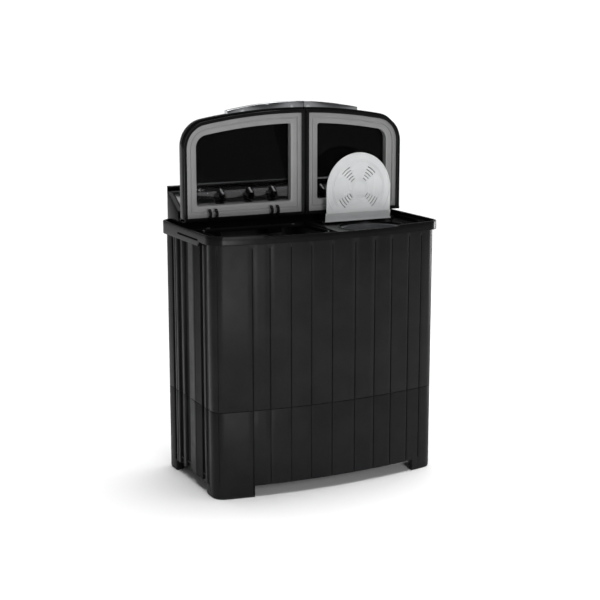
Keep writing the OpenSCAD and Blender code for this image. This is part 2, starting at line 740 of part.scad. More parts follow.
// The brake shoe swings about a pin fixed beside the drum
pivot_a = 50;
pivot_r = drum_r + 26;
module at_pivot() { at_spin() rotate([0, 0, pivot_a]) translate([pivot_r, 0, 0]) children(); }
module brake_bracket() {
    color("#77797b") {
        at_spin() difference() {
            union() {
                translate([0, 0, motor_top]) cylinder(r = 40, h = 3);
                rotate([0, 0, pivot_a]) translate([20, -14, motor_top]) cube([pivot_r - 8, 28, 3]);
            }
            translate([0, 0, motor_top - 1]) cylinder(r = 20, h = 6);
        }
        at_pivot() translate([0, 0, motor_top + 2]) cylinder(r = 4, h = 36);
    }
}
module brake_lever() {
    color("#a4a7aa") at_pivot() difference() {
        union() {
            translate([0, 0, drum_z + 2]) cylinder(r = 9, h = 14);
            rotate([0, 0, -90]) translate([0, -9, drum_z + 2]) cube([78, 6, 14]);
            rotate([0, 0, 90]) translate([0, -3, drum_z + 5]) cube([46, 6, 8]);
            rotate([0, 0, 90]) translate([-12, -0, drum_z + 5]) cube([24, 9, 8]);
        }
        translate([0, 0, drum_z - 1]) cylinder(r = 4 + run_fit, h = 30);
        translate([-pivot_r, 0, drum_z - 1]) cylinder(r = drum_r + clear, h = 40);
    }
}
module spin_motor() {
    color("#6e7276") at_spin() difference() {
        union() {
            translate([0, 0, motor_z + 8]) cylinder(r = motor_r, h = motor_top - motor_z - 8);
            translate([0, 0, motor_z]) cylinder(r = motor_r + 8, h = 8.5);
        }
        translate([0, 0, motor_z + 26]) cylinder(r = spin_shaft_r + run_fit, h = motor_top);
    }
}
module motor_springs() {
    h = motor_z - base_floor - wall;
    color("#3a3a3a") at_spin() for (a = [30, 150, 270]) rotate([0, 0, a])
        translate([motor_r - 6, 0, base_floor + wall]) {
            cylinder(r = 9, h = h);
            for (i = [1:5]) translate([0, 0, i * h / 6]) rotate_extrude() translate([9, 0])
                circle(r = 3, $fn = 24);
        }
}
module capacitors() {
    color("#d9d9d9") for (i = [0, 1]) translate([spin_x - 30 + i * 60, body_back - wall - 24,
        seam_z + 60 + i * 8]) {
        cylinder(r = 19, h = 62);
        block(-4, 4, 19, 24, 10, 50);
        translate([0, 0, 62]) cylinder(r = 6, h = 6);
    }
}

// Drain: a lift valve behind the wash tub, worked from the panel
module drain_valve() {
    top = valve_z + 92;
    color("#4a4d50") difference() {
        union() {
            translate([valve_x, valve_y, valve_z]) cylinder(r = valve_r, h = top - valve_z);
            translate([valve_x, wash_y1 + tub_wall, wash_floor + 20]) rotate([-90, 0, 0])
                cylinder(r = 14, h = valve_y - wash_y1 - tub_wall - 10);
        }
        translate([valve_x, valve_y, valve_z + 4]) cylinder(r = valve_r - 3, h = top);
        translate([valve_x, valve_y, valve_z - 1]) cylinder(r = 9, h = 10);
        translate([valve_x, wash_y1 + tub_wall - 1, wash_floor + 20]) rotate([-90, 0, 0])
            cylinder(r = 11, h = valve_y - wash_y1 - tub_wall);
    }
}
module drain_plunger() {
    color("#1e1e1e") translate([valve_x, valve_y, valve_z + 4 + clear]) {
        cylinder(r = 16, h = 14);
        cylinder(r = plunger_r, h = 40);
        cylinder(r = 2.5, h = cab_top - 50 - valve_z);
    }
}
module drain_outlet() {
    color("#3a3d40") {
        difference() {
            union() {
                translate([valve_x, valve_y, outlet_z]) cylinder(r = outlet_r, h = valve_z - outlet_z);
                translate([valve_x, valve_y, outlet_z]) sphere(r = outlet_r);
                translate([valve_x, valve_y, outlet_z]) rotate([-90, 0, 0])
                    cylinder(r = outlet_r, h = body_back + 4 - valve_y);
            }
            translate([valve_x, valve_y, outlet_z]) cylinder(r = outlet_r - 3, h = valve_z - outlet_z + 1);
            translate([valve_x, valve_y, outlet_z]) sphere(r = outlet_r - 3);
            translate([valve_x, valve_y, outlet_z]) rotate([-90, 0, 0]) cylinder(r = outlet_r - 3, h = 200);
        }
        difference() {
            block(valve_x - pocket_w / 2 - 5, valve_x + pocket_w / 2 + 5, body_back - wall - 3,
                body_back - wall,
                  outlet_z - pocket_h / 2 - 5, outlet_z + pocket_h / 2 + 5);
            translate([valve_x, valve_y, outlet_z]) rotate([-90, 0, 0]) cylinder(r = outlet_r - 1, h = 200);
        }
    }
}

// What the knobs turn, hung under the panel's slope
module under_slope(x, r, h) {
    on_slope(x) translate([0, 0, -fascia_t - wall - h]) difference() {
        union() {
            cylinder(r = r, h = h);
            translate([-r - 8, -7, h - 3]) cube([2 * r + 16, 14, 3]);
        }
        translate([0, 0, h - 14]) cylinder(r = spindle_r + run_fit, h = 20);
    }
}
module wash_timer() { color("#ded9c8") under_slope(knob_xs[0], 21, 30); }
module wash_switch() { color("#c8ccd0") under_slope(knob_xs[1], 17, 24); }
module drain_cam() { color("#b9bdc1") under_slope(knob_xs[2], 15, 24); }
module spin_timer() { color("#ded9c8") under_slope(knob_xs[3], 21, 30); }
module lid_switch() {
    color("#cfcfc8") {
        block(panel_half - 60, panel_half - 34, panel_front + wall, panel_front + wall + 12,
              deck_z + wall, deck_z + panel_wall_h - 12);
    }
}
module knob(x) {
    color("#303030") on_slope(x) {
        translate([0, 0, clear]) difference() {
            union() {
                cylinder(r = knob_r, h = 4);
                cylinder(r1 = knob_r - 2, r2 = knob_r - 4, h = knob_h - clear);
            }
            for (s = [-1, 1]) translate([s * (knob_r * 0.55 + 4) - 5, -knob_r, 9])
                cube([10, 2 * knob_r, knob_h]);
        }
        translate([0, 0, -fascia_t - wall - 12]) cylinder(r = spindle_r, h = fascia_t + wall + 14);
    }
}
module wash_timer_knob() { knob(knob_xs[0]); }
module wash_mode_knob() { knob(knob_xs[1]); }
module drain_knob() { knob(knob_xs[2]); }
module spin_timer_knob() { knob(knob_xs[3]); }

// Lid outline as seen from the front with the lid open: outer side at -X, inner edge at x1
module lid_outline(x1, inset, top_inset = 0) {
    half = lid_half - inset;
    z0 = lid_bottom + inset;
    r_bow = lid_bow_r - inset - top_inset;
    zc = lid_top - lid_bow_r;
    r = max(lid_r - inset, 8);
    fz = zc + sqrt(pow(r_bow - r, 2) - pow(half - r, 2));
    ta = 180 - atan2(fz - zc, half - r);
    ti = acos((x1 - inset) / r_bow);
    polygon(concat([[-half, z0], [x1 - inset, z0]], arc([0, zc], r_bow, ti, ta, 24),
        arc([-half + r, fz], r, ta, 180, 10)));
}
// Turns an outline drawn in X and Z into a slab between two depths
module upright(y0, y1) { translate([0, y1, 0]) rotate([90, 0, 0]) linear_extrude(y1 - y0) children(); }
module lid_shell(x1, hinges, claws) {
    y_out = lid_face + lid_t;
    win = lid_rim + liner_w;
    difference() {
        union() {
            difference() {
                union() {
                    upright(lid_face, lid_face + 16) lid_outline(x1, 0, 6);
                    upright(lid_face + 16, y_out) lid_outline(x1, 0);
                }
                upright(lid_face - 1, y_out - skin_t) lid_outline(x1, skin_t, 6);
                upright(lid_face - 1, y_out + 1) lid_outline(x1, win);
            }
            upright(lid_face, lid_face + lid_rim_h) difference() {
                lid_outline(x1, 0, 6);
                lid_outline(x1, lid_rim, 6);
            }
            for (x = hinges) {
                block(x + 6, x + 16, y_out - 1, pin_y, pin_z - eye_r, pin_z + eye_r);
                along_x(x + 6, pin_y, pin_z) cylinder(r = eye_r, h = 10);
            }
        }
        for (x = hinges) along_x(x + 5, pin_y, pin_z) cylinder(r = pin_r + run_fit, h = 12);
    }
    for (x = claws, i = [0, 1]) translate([x + i * claw_pitch, 0, 0]) lid_claw();
}
// Curved finger that hooks over the lower edge of the liner
module lid_claw() {
    difference() {
        along_x(0, lid_face + 4, lid_bottom + 20) cylinder(r = 16, h = claw_t);
        along_x(-1, lid_face + 4, lid_bottom + 20) cylinder(r = 10, h = claw_t + 2);
        block(-1, claw_t + 1, lid_face, lid_face + 40, lid_bottom + 10, lid_bottom + 60);
        block(-1, claw_t + 1, lid_face + 1, lid_face + 40, lid_bottom - 10, lid_bottom + 60);
    }
}
module lid_liner(x1) {
    y0 = lid_face + lid_rim_h;
    win = lid_rim + liner_w;
    difference() {
        union() {
            upright(y0 + 3, y0 + 6) lid_outline(x1, lid_rim, 6);
            upright(y0, y0 + 4) difference() {
                lid_outline(x1, lid_rim, 6);
                lid_outline(x1, lid_rim + 14, 6);
            }
            upright(y0 + 1, lid_face + lid_t - skin_t - window_t) lid_outline(x1, win - 3, 3);
        }
        upright(lid_face, lid_face + lid_t) lid_outline(x1, win);
    }
}
module lid_window(x1) {
    y1 = lid_face + lid_t - skin_t;
    upright(y1 - window_t, y1) lid_outline(x1, lid_rim + liner_w - 6);
}
// Bright strip on a lid's front edge: a lens between the lid's bow and a tighter arc
module lid_trim(x0, x1) {
    rise = lid_bow_r - sqrt(pow(lid_bow_r, 2) - pow(trim_half, 2)) + trim_h - trim_end;
    r = (pow(trim_half, 2) + pow(rise, 2)) / (2 * rise);
    zt = lid_top + trim_h - r;
    zb = lid_top - lid_bow_r + 0.05;
    y1 = lid_face + lid_t;
    upright(y1 - trim_back, y1) polygon(concat(
        arc([0, zt], r, acos(x1 / r), acos(x0 / r), 24),
        arc([0, zb], lid_bow_r, acos(x0 / lid_bow_r), acos(x1 / lid_bow_r), 24)));
}
module wash_lid_shell() { color("#2b2b2b") lid_shell(wash_edge, wash_hinges, wash_claws); }
module wash_lid_liner() { color("#8a8a8a") lid_liner(wash_edge); }
module wash_lid_window() { color("#0a0a0a", 0.9) lid_window(wash_edge); }
module wash_lid_trim() { color("#e8e8e8") lid_trim(-trim_half + 0.5, wash_edge); }
module spin_lid_shell() {
    color("#2b2b2b") mirror([1, 0, 0])
        lid_shell(spin_edge, [for (x = spin_hinges) -x - 22],
            [for (x = spin_claws) -x - claw_pitch - claw_t]);
}
module spin_lid_liner() { color("#8a8a8a") mirror([1, 0, 0]) lid_liner(spin_edge); }
module spin_lid_window() { color("#0a0a0a", 0.9) mirror([1, 0, 0]) lid_window(spin_edge); }
module spin_lid_trim() { color("#e8e8e8") lid_trim(-spin_edge, trim_half - 0.5); }

module spin_cover() {
    y1 = cover_y - 3;
    y0 = y1 - cover_t;
    boss_z = cover_z + cover_arm;
    color("#cfcfcf") {
        difference() {
            union() {
                upright(y0, y1) {
                    translate([spin_x, boss_z]) circle(r = cover_r, $fn = 128);
                    translate([spin_x - cover_r, cover_z + fold_h])
                        square([2 * cover_r, cover_arm - fold_h]);
                }
                translate([spin_x, y0 - 1.2, boss_z]) rotate([-90, 0, 0]) cylinder(r = 22, h = 2);
            }
            upright(y0 - 3, y1 + 1) translate([spin_x - cover_r - 5, cover_z - 40])
                square([2 * cover_r + 10, 40 + fold_h]);
            for (a = [52, 128, 218, 322], j = [0:4]) cover_slot(a, 34 + j * 9.5, y0 - 3, y1 + 1, boss_z);
        }
        rotate([90, 0, 90]) translate([0, 0, spin_x - cover_r - 2]) linear_extrude(2 * cover_r + 4)
            polygon([[cover_y - 1.5, cover_z - 2], [cover_y + 1.5, cover_z - 1],
                [y1, cover_z + fold_h + 0.5],
                     [y0, cover_z + fold_h + 0.5]]);
        along_x(spin_x - cover_r - 10, cover_y, cover_z) cylinder(r = cover_pin_r, h = 2 * cover_r + 20);
    }
}
module cover_slot(a, r, y0, y1, z) {
    span = 26;
    upright(y0, y1) translate([spin_x, z]) rotate(a - span / 2)
        polygon(concat(arc([0, 0], r - 1.2, 0, span, 6), arc([0, 0], r + 1.2, span, 0, 6)));
}

cabinet_shell();
base_frame();
foot_pads();
bottom_cover();
top_deck();
control_panel();
panel_fascia();
rear_cover();
cover_screws();
lid_hinge_pins();
water_inlets();
cord_gland();
wash_tub();
overflow_channel();
lint_filter();
wash_bearing_housing();
pulsator();
pulsator_shaft();
pulsator_screw();
wash_pulley();
wash_motor();
motor_bracket();
motor_pulley();
drive_belt();
spin_tub();
bellows_seal();
spin_basket();
balance_ring();
spin_shaft();
brake_drum();
brake_bracket();
brake_lever();
spin_motor();
motor_springs();
capacitors();
drain_valve();
drain_plunger();
drain_outlet();
wash_timer();
wash_switch();
drain_cam();
spin_timer();
lid_switch();
wash_timer_knob();
wash_mode_knob();
drain_knob();
spin_timer_knob();
wash_lid_shell();
wash_lid_liner();
wash_lid_window();
wash_lid_trim();
spin_lid_shell();
spin_lid_liner();
spin_lid_window();
spin_lid_trim();
spin_cover();
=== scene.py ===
"""Twin tub washing machine: finished pieces, materials and stage around its fixed frame."""
import json
import math

import bmesh
import bpy
from mathutils import Matrix, Vector

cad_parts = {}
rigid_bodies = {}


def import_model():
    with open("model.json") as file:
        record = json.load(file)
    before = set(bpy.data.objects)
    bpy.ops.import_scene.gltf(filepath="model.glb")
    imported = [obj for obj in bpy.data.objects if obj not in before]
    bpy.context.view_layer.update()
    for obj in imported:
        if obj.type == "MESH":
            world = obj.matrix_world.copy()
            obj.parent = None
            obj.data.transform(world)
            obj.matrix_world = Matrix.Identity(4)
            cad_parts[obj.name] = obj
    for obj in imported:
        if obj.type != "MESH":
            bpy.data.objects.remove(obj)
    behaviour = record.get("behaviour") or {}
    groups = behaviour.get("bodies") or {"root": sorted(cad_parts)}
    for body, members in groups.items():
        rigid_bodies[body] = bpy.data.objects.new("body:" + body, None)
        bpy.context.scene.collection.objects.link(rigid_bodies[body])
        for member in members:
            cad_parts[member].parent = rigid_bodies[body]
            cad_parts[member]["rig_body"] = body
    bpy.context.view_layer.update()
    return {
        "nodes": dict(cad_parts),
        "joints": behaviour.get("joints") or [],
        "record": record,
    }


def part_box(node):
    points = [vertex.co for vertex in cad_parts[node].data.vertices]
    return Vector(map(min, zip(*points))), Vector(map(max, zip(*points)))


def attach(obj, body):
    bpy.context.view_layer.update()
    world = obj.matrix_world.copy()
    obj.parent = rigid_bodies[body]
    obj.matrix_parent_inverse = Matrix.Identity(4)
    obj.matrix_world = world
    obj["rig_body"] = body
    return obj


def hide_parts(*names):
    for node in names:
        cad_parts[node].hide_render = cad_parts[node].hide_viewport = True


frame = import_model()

bl_info = {
    "name": "Twin tub washing machine",
    "version": (1, 0, 0),
    "blender": (4, 5, 0),
    "location": "3D View > Sidebar > Washer",
    "description": "Builds the finished mouldings, lids, controls and stage round the washer's frame",
    "category": "Add Mesh",
}

MM = 0.001


def mm_box(node):
    """Lowest and highest corner of a frame node, in millimetres."""
    return [tuple(v / MM for v in corner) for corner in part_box(node)]


def linear(code):
    """sRGB hex to linear RGB."""
    values = [int(code[i:i + 2], 16) / 255 for i in (1, 3, 5)]
    return tuple(v / 12.92 if v <= 0.04045 else ((v + 0.055) / 1.055) ** 2.4 for v in values)


# Places and overall sizes, from the frame
DECK, LID, WINDOW = mm_box("top_deck"), mm_box("wash_lid_shell"), mm_box("wash_lid_window")
LINER, TRIM = mm_box("wash_lid_liner"), mm_box("wash_lid_trim")
HALF_W, RIM_D, RIM_H = DECK[1][0], DECK[1][1] - DECK[0][1], DECK[1][2]


# ---------------------------------------------------------------- values a user can change
class WasherShape(bpy.types.PropertyGroup):
    """Sizes of the mouldings, in millimetres"""
    front_bow: bpy.props.FloatProperty(
        name="Front bow", description="How far the front bows out at its middle", default=42.0, min=5.0)
    front_r: bpy.props.FloatProperty(
        name="Front corners", description="Radius of the rim's front corners", default=46.0, min=15.0)
    rear_r: bpy.props.FloatProperty(
        name="Rear corners", description="Radius of the rim's rear corners", default=36.0, min=15.0)
    lip: bpy.props.FloatProperty(
        name="Groove lip", description="Rounding of the planks' edges", default=1.1, min=0.2)
    rim_wall: bpy.props.FloatProperty(
        name="Rim wall", description="Thickness of the deck's rim", default=8.0, min=3.0)
    rim_round: bpy.props.FloatProperty(
        name="Rim rounding", description="Radius of the rim's upper edge", default=3.0, min=0.5)
    bay_half: bpy.props.FloatProperty(
        name="Finger bay", description="Half width of the lowered part of the front rim",
        default=212.0, min=20.0)
    bay_d: bpy.props.FloatProperty(
        name="Finger bay depth", description="How far the front rim drops there",
        default=5.0, min=0.0)
    lid_r: bpy.props.FloatProperty(
        name="Lid corner", description="Radius of a lid's outer front corner", default=80.0, min=20.0)
    lid_round: bpy.props.FloatProperty(
        name="Lid edge", description="Radius of the lids' upper edges", default=4.0, min=0.5)
    strip_end: bpy.props.FloatProperty(
        name="Strip ends", description="Height of the bright strips at their ends",
        default=9.0, min=1.0)
    edge: bpy.props.FloatProperty(
        name="Small edges", description="Rounding of edges on small mouldings", default=0.6, min=0.1)


class WasherColours(bpy.types.PropertyGroup):
    """Base colours of the finishes"""
    body: bpy.props.FloatVectorProperty(
        name="Cabinet", description="Black of the planked cabinet and base",
        subtype="COLOR", size=3, min=0.0, max=1.0, default=linear("#1a1a1b"))
    deck: bpy.props.FloatVectorProperty(
        name="Deck", description="Black of the deck, the panel and the lids",
        subtype="COLOR", size=3, min=0.0, max=1.0, default=linear("#0c0c0d"))
    liner: bpy.props.FloatVectorProperty(
        name="Liner", description="Grey of the frames inside the lids",
        subtype="COLOR", size=3, min=0.0, max=1.0, default=linear("#7a7a7a"))
    window: bpy.props.FloatVectorProperty(
        name="Windows", description="Tint of the smoked windows",
        subtype="COLOR", size=3, min=0.0, max=1.0, default=linear("#868688"))
    cover: bpy.props.FloatVectorProperty(
        name="Spin cover", description="Milky colour of the spin cover",
        subtype="COLOR", size=3, min=0.0, max=1.0, default=linear("#dcdedf"))
    tub: bpy.props.FloatVectorProperty(
        name="Tubs", description="Colour of the two tubs",
        subtype="COLOR", size=3, min=0.0, max=1.0, default=linear("#1c1d1f"))
    floor: bpy.props.FloatVectorProperty(
        name="Floor", description="Colour of the stage floor",
        subtype="COLOR", size=3, min=0.0, max=1.0, default=linear("#f6f6f6"))


def shape():
    return bpy.context.scene.washer_shape


def colours():
    return bpy.context.scene.washer_colours


# ---------------------------------------------------------------- mesh helpers, all in millimetres
def skin(name, verts, faces, weld=0.002):
    """A mesh from points and faces, with points closer than weld made one and its faces outward."""
    mesh = bpy.data.meshes.new(name)
    mesh.from_pydata([(x * MM, y * MM, z * MM) for x, y, z in verts], [], faces)
    work = bmesh.new()
    work.from_mesh(mesh)
    if weld:
        bmesh.ops.remove_doubles(work, verts=work.verts, dist=weld * MM)
    bmesh.ops.recalc_face_normals(work, faces=work.faces)
    work.to_mesh(mesh)
    work.free()
    return mesh


def piece(name, verts, faces, material, body, slot, nodes, smooth=32.0):
    """A finished piece from points and faces: links it, smooths it and ties it to the frame."""
    obj = bpy.data.objects.new(name, skin(name, verts, faces))
    return settle(obj, material, body, nodes, smooth)


def smoothed(obj, angle):
    """Shades an object smooth, apart from edges sharper than the angle."""
    obj.data.shade_smooth()
    obj.data.set_sharp_from_angle(angle=math.radians(angle))


def settle(obj, material, body, nodes, smooth=32.0):
    """Gives a piece its finish and its body, and hides the frame nodes that it stands for."""
    if not obj.users_collection:
        bpy.context.scene.collection.objects.link(obj)
    obj.data.materials.clear()
    obj.data.materials.append(material)
    smoothed(obj, smooth)
    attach(obj, body)
    if nodes:
        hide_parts(*nodes)
    return obj


def loft(rings, closed=False, caps=True):
    """Points and faces over rings with equal counts. closed joins the last ring to the first."""
    count = len(rings[0])
    verts = [p for ring in rings for p in ring]
    faces = []
    for k in range(len(rings) if closed else len(rings) - 1):
        a, b = k * count, (k + 1) % len(rings) * count
        faces += [(a + i, a + (i + 1) % count, b + (i + 1) % count, b + i) for i in range(count)]
    if caps and not closed:
        faces += [tuple(range(count)), tuple(range(len(verts) - 1, len(verts) - count - 1, -1))]
    return verts, faces


def merged(*parts):
    """Several (points, faces) pairs as one."""
    verts, faces = [], []
    for v, f in parts:
        faces += [tuple(i + len(verts) for i in face) for face in f]
        verts += v
    return verts, faces


def fillet(path, radius, steps=3):
    """The path with each inner corner rounded."""
    out = [path[0]]
    for a, b, c in zip(path, path[1:], path[2:]):
        u, w = Vector(a) - Vector(b), Vector(c) - Vector(b)
        start = Vector(b) + u.normalized() * min(radius, u.length * 0.45)
        end = Vector(b) + w.normalized() * min(radius, w.length * 0.45)
        for i in range(steps + 1):
            t = i / steps
            out.append(tuple(start.lerp(Vector(b), t).lerp(Vector(b).lerp(end, t), t)))
    return out + [path[-1]]


def spread(start, end, step):
    """Even values from start to end, about step apart."""
    count = max(1, round(abs(end - start) / step))
    return [start + (end - start) * i / count for i in range(count + 1)]


def turned(profile, centre, axis, steps=48):
    """Points and faces of a profile of (radius, height) pairs turned about an axis through centre."""
    turn = Vector((0, 0, 1)).rotation_difference(Vector(axis)).to_matrix()
    rings = []
    for r, h in profile:
        rings.append([tuple(turn @ Vector((r * math.cos(a), r * math.sin(a), h)) + Vector(centre))
                      for a in (2 * math.pi * i / steps for i in range(steps))])
    return loft(rings)


def softened(name, node, width, angle=40.0, keep=None):
    """A merged copy of a frame node with its sharp edges bevelled."""
    mesh = frame["nodes"][node].data.copy()
    mesh.name = name
    obj = bpy.data.objects.new(name, mesh)
    bpy.context.scene.collection.objects.link(obj)
    work = bmesh.new()
    work.from_mesh(mesh)
    bmesh.ops.remove_doubles(work, verts=work.verts, dist=0.005 * MM)
    bmesh.ops.dissolve_degenerate(work, edges=work.edges, dist=0.01 * MM)
    work.to_mesh(mesh)
    work.free()
    if keep:
        carve(obj, keep, "INTERSECT")
        mesh = obj.data
    work = bmesh.new()
    work.from_mesh(mesh)
    bmesh.ops.dissolve_limit(
        work, angle_limit=math.radians(0.4), verts=work.verts, edges=work.edges)
    work.to_mesh(mesh)
    work.free()
    return bevelled(obj, width, angle, "MITER_ARC")


def bevelled(obj, width, angle, miter="MITER_SHARP"):
    """Rounds an object's edges that are sharper than the angle, in two steps."""
    bevel = obj.modifiers.new("Soft edges", "BEVEL")
    bevel.width, bevel.segments = width * MM, 2
    bevel.limit_method, bevel.angle_limit = "ANGLE", math.radians(angle)
    bevel.use_clamp_overlap = True
    bevel.miter_outer = miter
    return plain(obj)


def plain(obj):
    """Replaces an object's mesh by its evaluated one and drops its modifiers."""
    done = obj.evaluated_get(bpy.context.evaluated_depsgraph_get())
    mesh = bpy.data.meshes.new_from_object(done)
    obj.modifiers.clear()
    obj.data = mesh
    return obj


def carve(obj, parts, operation="DIFFERENCE"):
    """Cuts obj with closed (points, faces) parts, or keeps only what lies in them."""
    cutter = bpy.data.objects.new("cutter", skin("cutter", *merged(*parts), weld=None))
    bpy.context.scene.collection.objects.link(cutter)
    cut = obj.modifiers.new("Cut", "BOOLEAN")
    cut.object, cut.operation, cut.solver = cutter, operation, "EXACT"
    plain(obj)
    bpy.data.objects.remove(cutter)
    return obj


# ---------------------------------------------------------------- finishes
def add(tree, kind, inputs=None, **settings):
    """A node in a tree. Its inputs are values, or the sockets that they come from."""
    node = tree.nodes.new(kind)
    for name, value in settings.items():
        setattr(node, name, value)
    for name, value in (inputs or {}).items():
        if isinstance(value, bpy.types.NodeSocket):
            tree.links.new(value, node.inputs[name])
        else:
            node.inputs[name].default_value = value
    return node


def finish(name, fixed, mottle=None, polish=None, relief=None, coords=None):
    """A material. fixed holds the shader's constants, mottle is (dark, pale, mm) for its colour,
    polish is (smooth, rough, mm) for its roughness, relief is (height mm, mm) for its bump,
    and coords stretches the pattern along X, Y and Z."""
    material = bpy.data.materials.new(name)
    material.use_nodes = True
    tree = material.node_tree
    tree.nodes.clear()
    shader = add(tree, "ShaderNodeBsdfPrincipled", fixed)
    place = add(tree, "ShaderNodeTexCoord").outputs["Object"]
    if coords:
        place = add(tree, "ShaderNodeMapping", {"Vector": place, "Scale": coords}).outputs["Vector"]
    if mottle:
        dark, pale, size = mottle
        cloud = add(tree, "ShaderNodeTexNoise", {
            "Vector": place, "Scale": 1 / (size * MM), "Detail": 3.0, "Roughness": 0.6})
        ramp = add(tree, "ShaderNodeValToRGB", {"Fac": cloud.outputs["Fac"]})
        ramp.color_ramp.elements[0].position, ramp.color_ramp.elements[1].position = 0.32, 0.68
        ramp.color_ramp.elements[0].color = (*dark, 1)
        ramp.color_ramp.elements[1].color = (*pale, 1)
        tree.links.new(ramp.outputs["Color"], shader.inputs["Base Color"])
    if polish:
        smooth, rough, size = polish
        rub = add(tree, "ShaderNodeTexNoise", {
            "Vector": place, "Scale": 1 / (size * MM), "Detail": 4.0, "Roughness": 0.65})
        amount = add(tree, "ShaderNodeMapRange", {
            "Value": rub.outputs["Fac"], "From Min": 0.3, "From Max": 0.7,
            "To Min": smooth, "To Max": rough})
        tree.links.new(amount.outputs["Result"], shader.inputs["Roughness"])
    if relief:
        height, size = relief
        grain = add(tree, "ShaderNodeTexNoise", {
            "Vector": place, "Scale": 1 / (size * MM), "Detail": 2.0, "Roughness": 0.5})
        bump = add(tree, "ShaderNodeBump", {
            "Height": grain.outputs["Fac"], "Distance": height * MM, "Strength": 1.0})
        tree.links.new(bump.outputs["Normal"], shader.inputs["Normal"])
    add(tree, "ShaderNodeOutputMaterial", {"Surface": shader.outputs["BSDF"]})
    return material


def shade(colour, factor):
    """A linear colour made darker or paler."""
    return tuple(min(1.0, v * factor) for v in colour)


def black_abs(name, colour, smooth, rough):
    """Injection-moulded black ABS off a spark-eroded mould: an even satin black with a fine grain
    that breaks up reflections. The real grain is about 0.2 mm and is drawn at 0.9 mm, to show."""
    return finish(
        name, {"IOR": 1.53, "Specular IOR Level": 0.055},
        (shade(colour, 0.85), shade(colour, 1.15), 90), (smooth, rough, 35), (0.012, 0.9))


def steel(name, code, smooth, rough, coords, size=1.2):
    """Steel or alloy, drawn, turned or cast: grey metal with faint streaks along the tool's way."""
    tone = linear(code)
    return finish(
        name, {"Metallic": 1.0}, (shade(tone, 0.86), shade(tone, 1.05), 14),
        (smooth, rough, 3), (0.01, size), coords)


def rubber(name, code, mm):
    """Moulded EPDM rubber: soft black that scatters light, with a slight dusty bloom."""
    tone = linear(code)
    return finish(
        name, {"IOR": 1.52, "Specular IOR Level": 0.35}, (shade(tone, 0.8), shade(tone, 1.5), 18),
        (0.62, 0.82, 9), (0.03, mm))


def polymer(name, colour, smooth, rough, clear=0.0):
    """Moulded polypropylene or nylon: waxy, a little light passes into it, and the sheen is soft."""
    return finish(
        name, {"IOR": 1.49, "Subsurface Weight": clear, "Subsurface Radius": (0.004, 0.004, 0.004),
               "Subsurface Scale": 1.0},
        (shade(colour, 0.95), shade(colour, 1.04), 60), (smooth, rough, 22), (0.01, 1.3))


CLEAR_SHARE, CLEAR_FADE = 0.31, 14  # share of a window that is clearer, and how fast it darkens, in mm


def smoked_acrylic(tint):
    """Cast acrylic sheet, smoked nearly black and a little clearer beside the hinge, where the knobs
    are read through it: a glossy dark pane that shows only pale marks behind it."""
    material = finish(
        "smoked_acrylic", {"IOR": 1.1, "Transmission Weight": 1.0},
        None, (0.02, 0.04, 60), (0.001, 12))
    tree = material.node_tree
    shader = next(n for n in tree.nodes if n.type == "BSDF_PRINCIPLED")
    place = next(n for n in tree.nodes if n.type == "TEX_COORD")
    height = add(tree, "ShaderNodeSeparateXYZ", {"Vector": place.outputs["Object"]}).outputs["Z"]
    clear = (LINER[0][2] + CLEAR_SHARE * (WINDOW[1][2] - LINER[0][2])) * MM
    depth = add(tree, "ShaderNodeMapRange", {
        "Value": height, "From Min": clear, "From Max": clear + CLEAR_FADE * MM}).outputs["Result"]
    ramp = add(tree, "ShaderNodeValToRGB", {"Fac": depth})
    ramp.color_ramp.elements[0].color = (*tint, 1)
    ramp.color_ramp.elements[1].color = (*shade(tint, 0.006), 1)
    tree.links.new(ramp.outputs["Color"], shader.inputs["Base Color"])
    return material


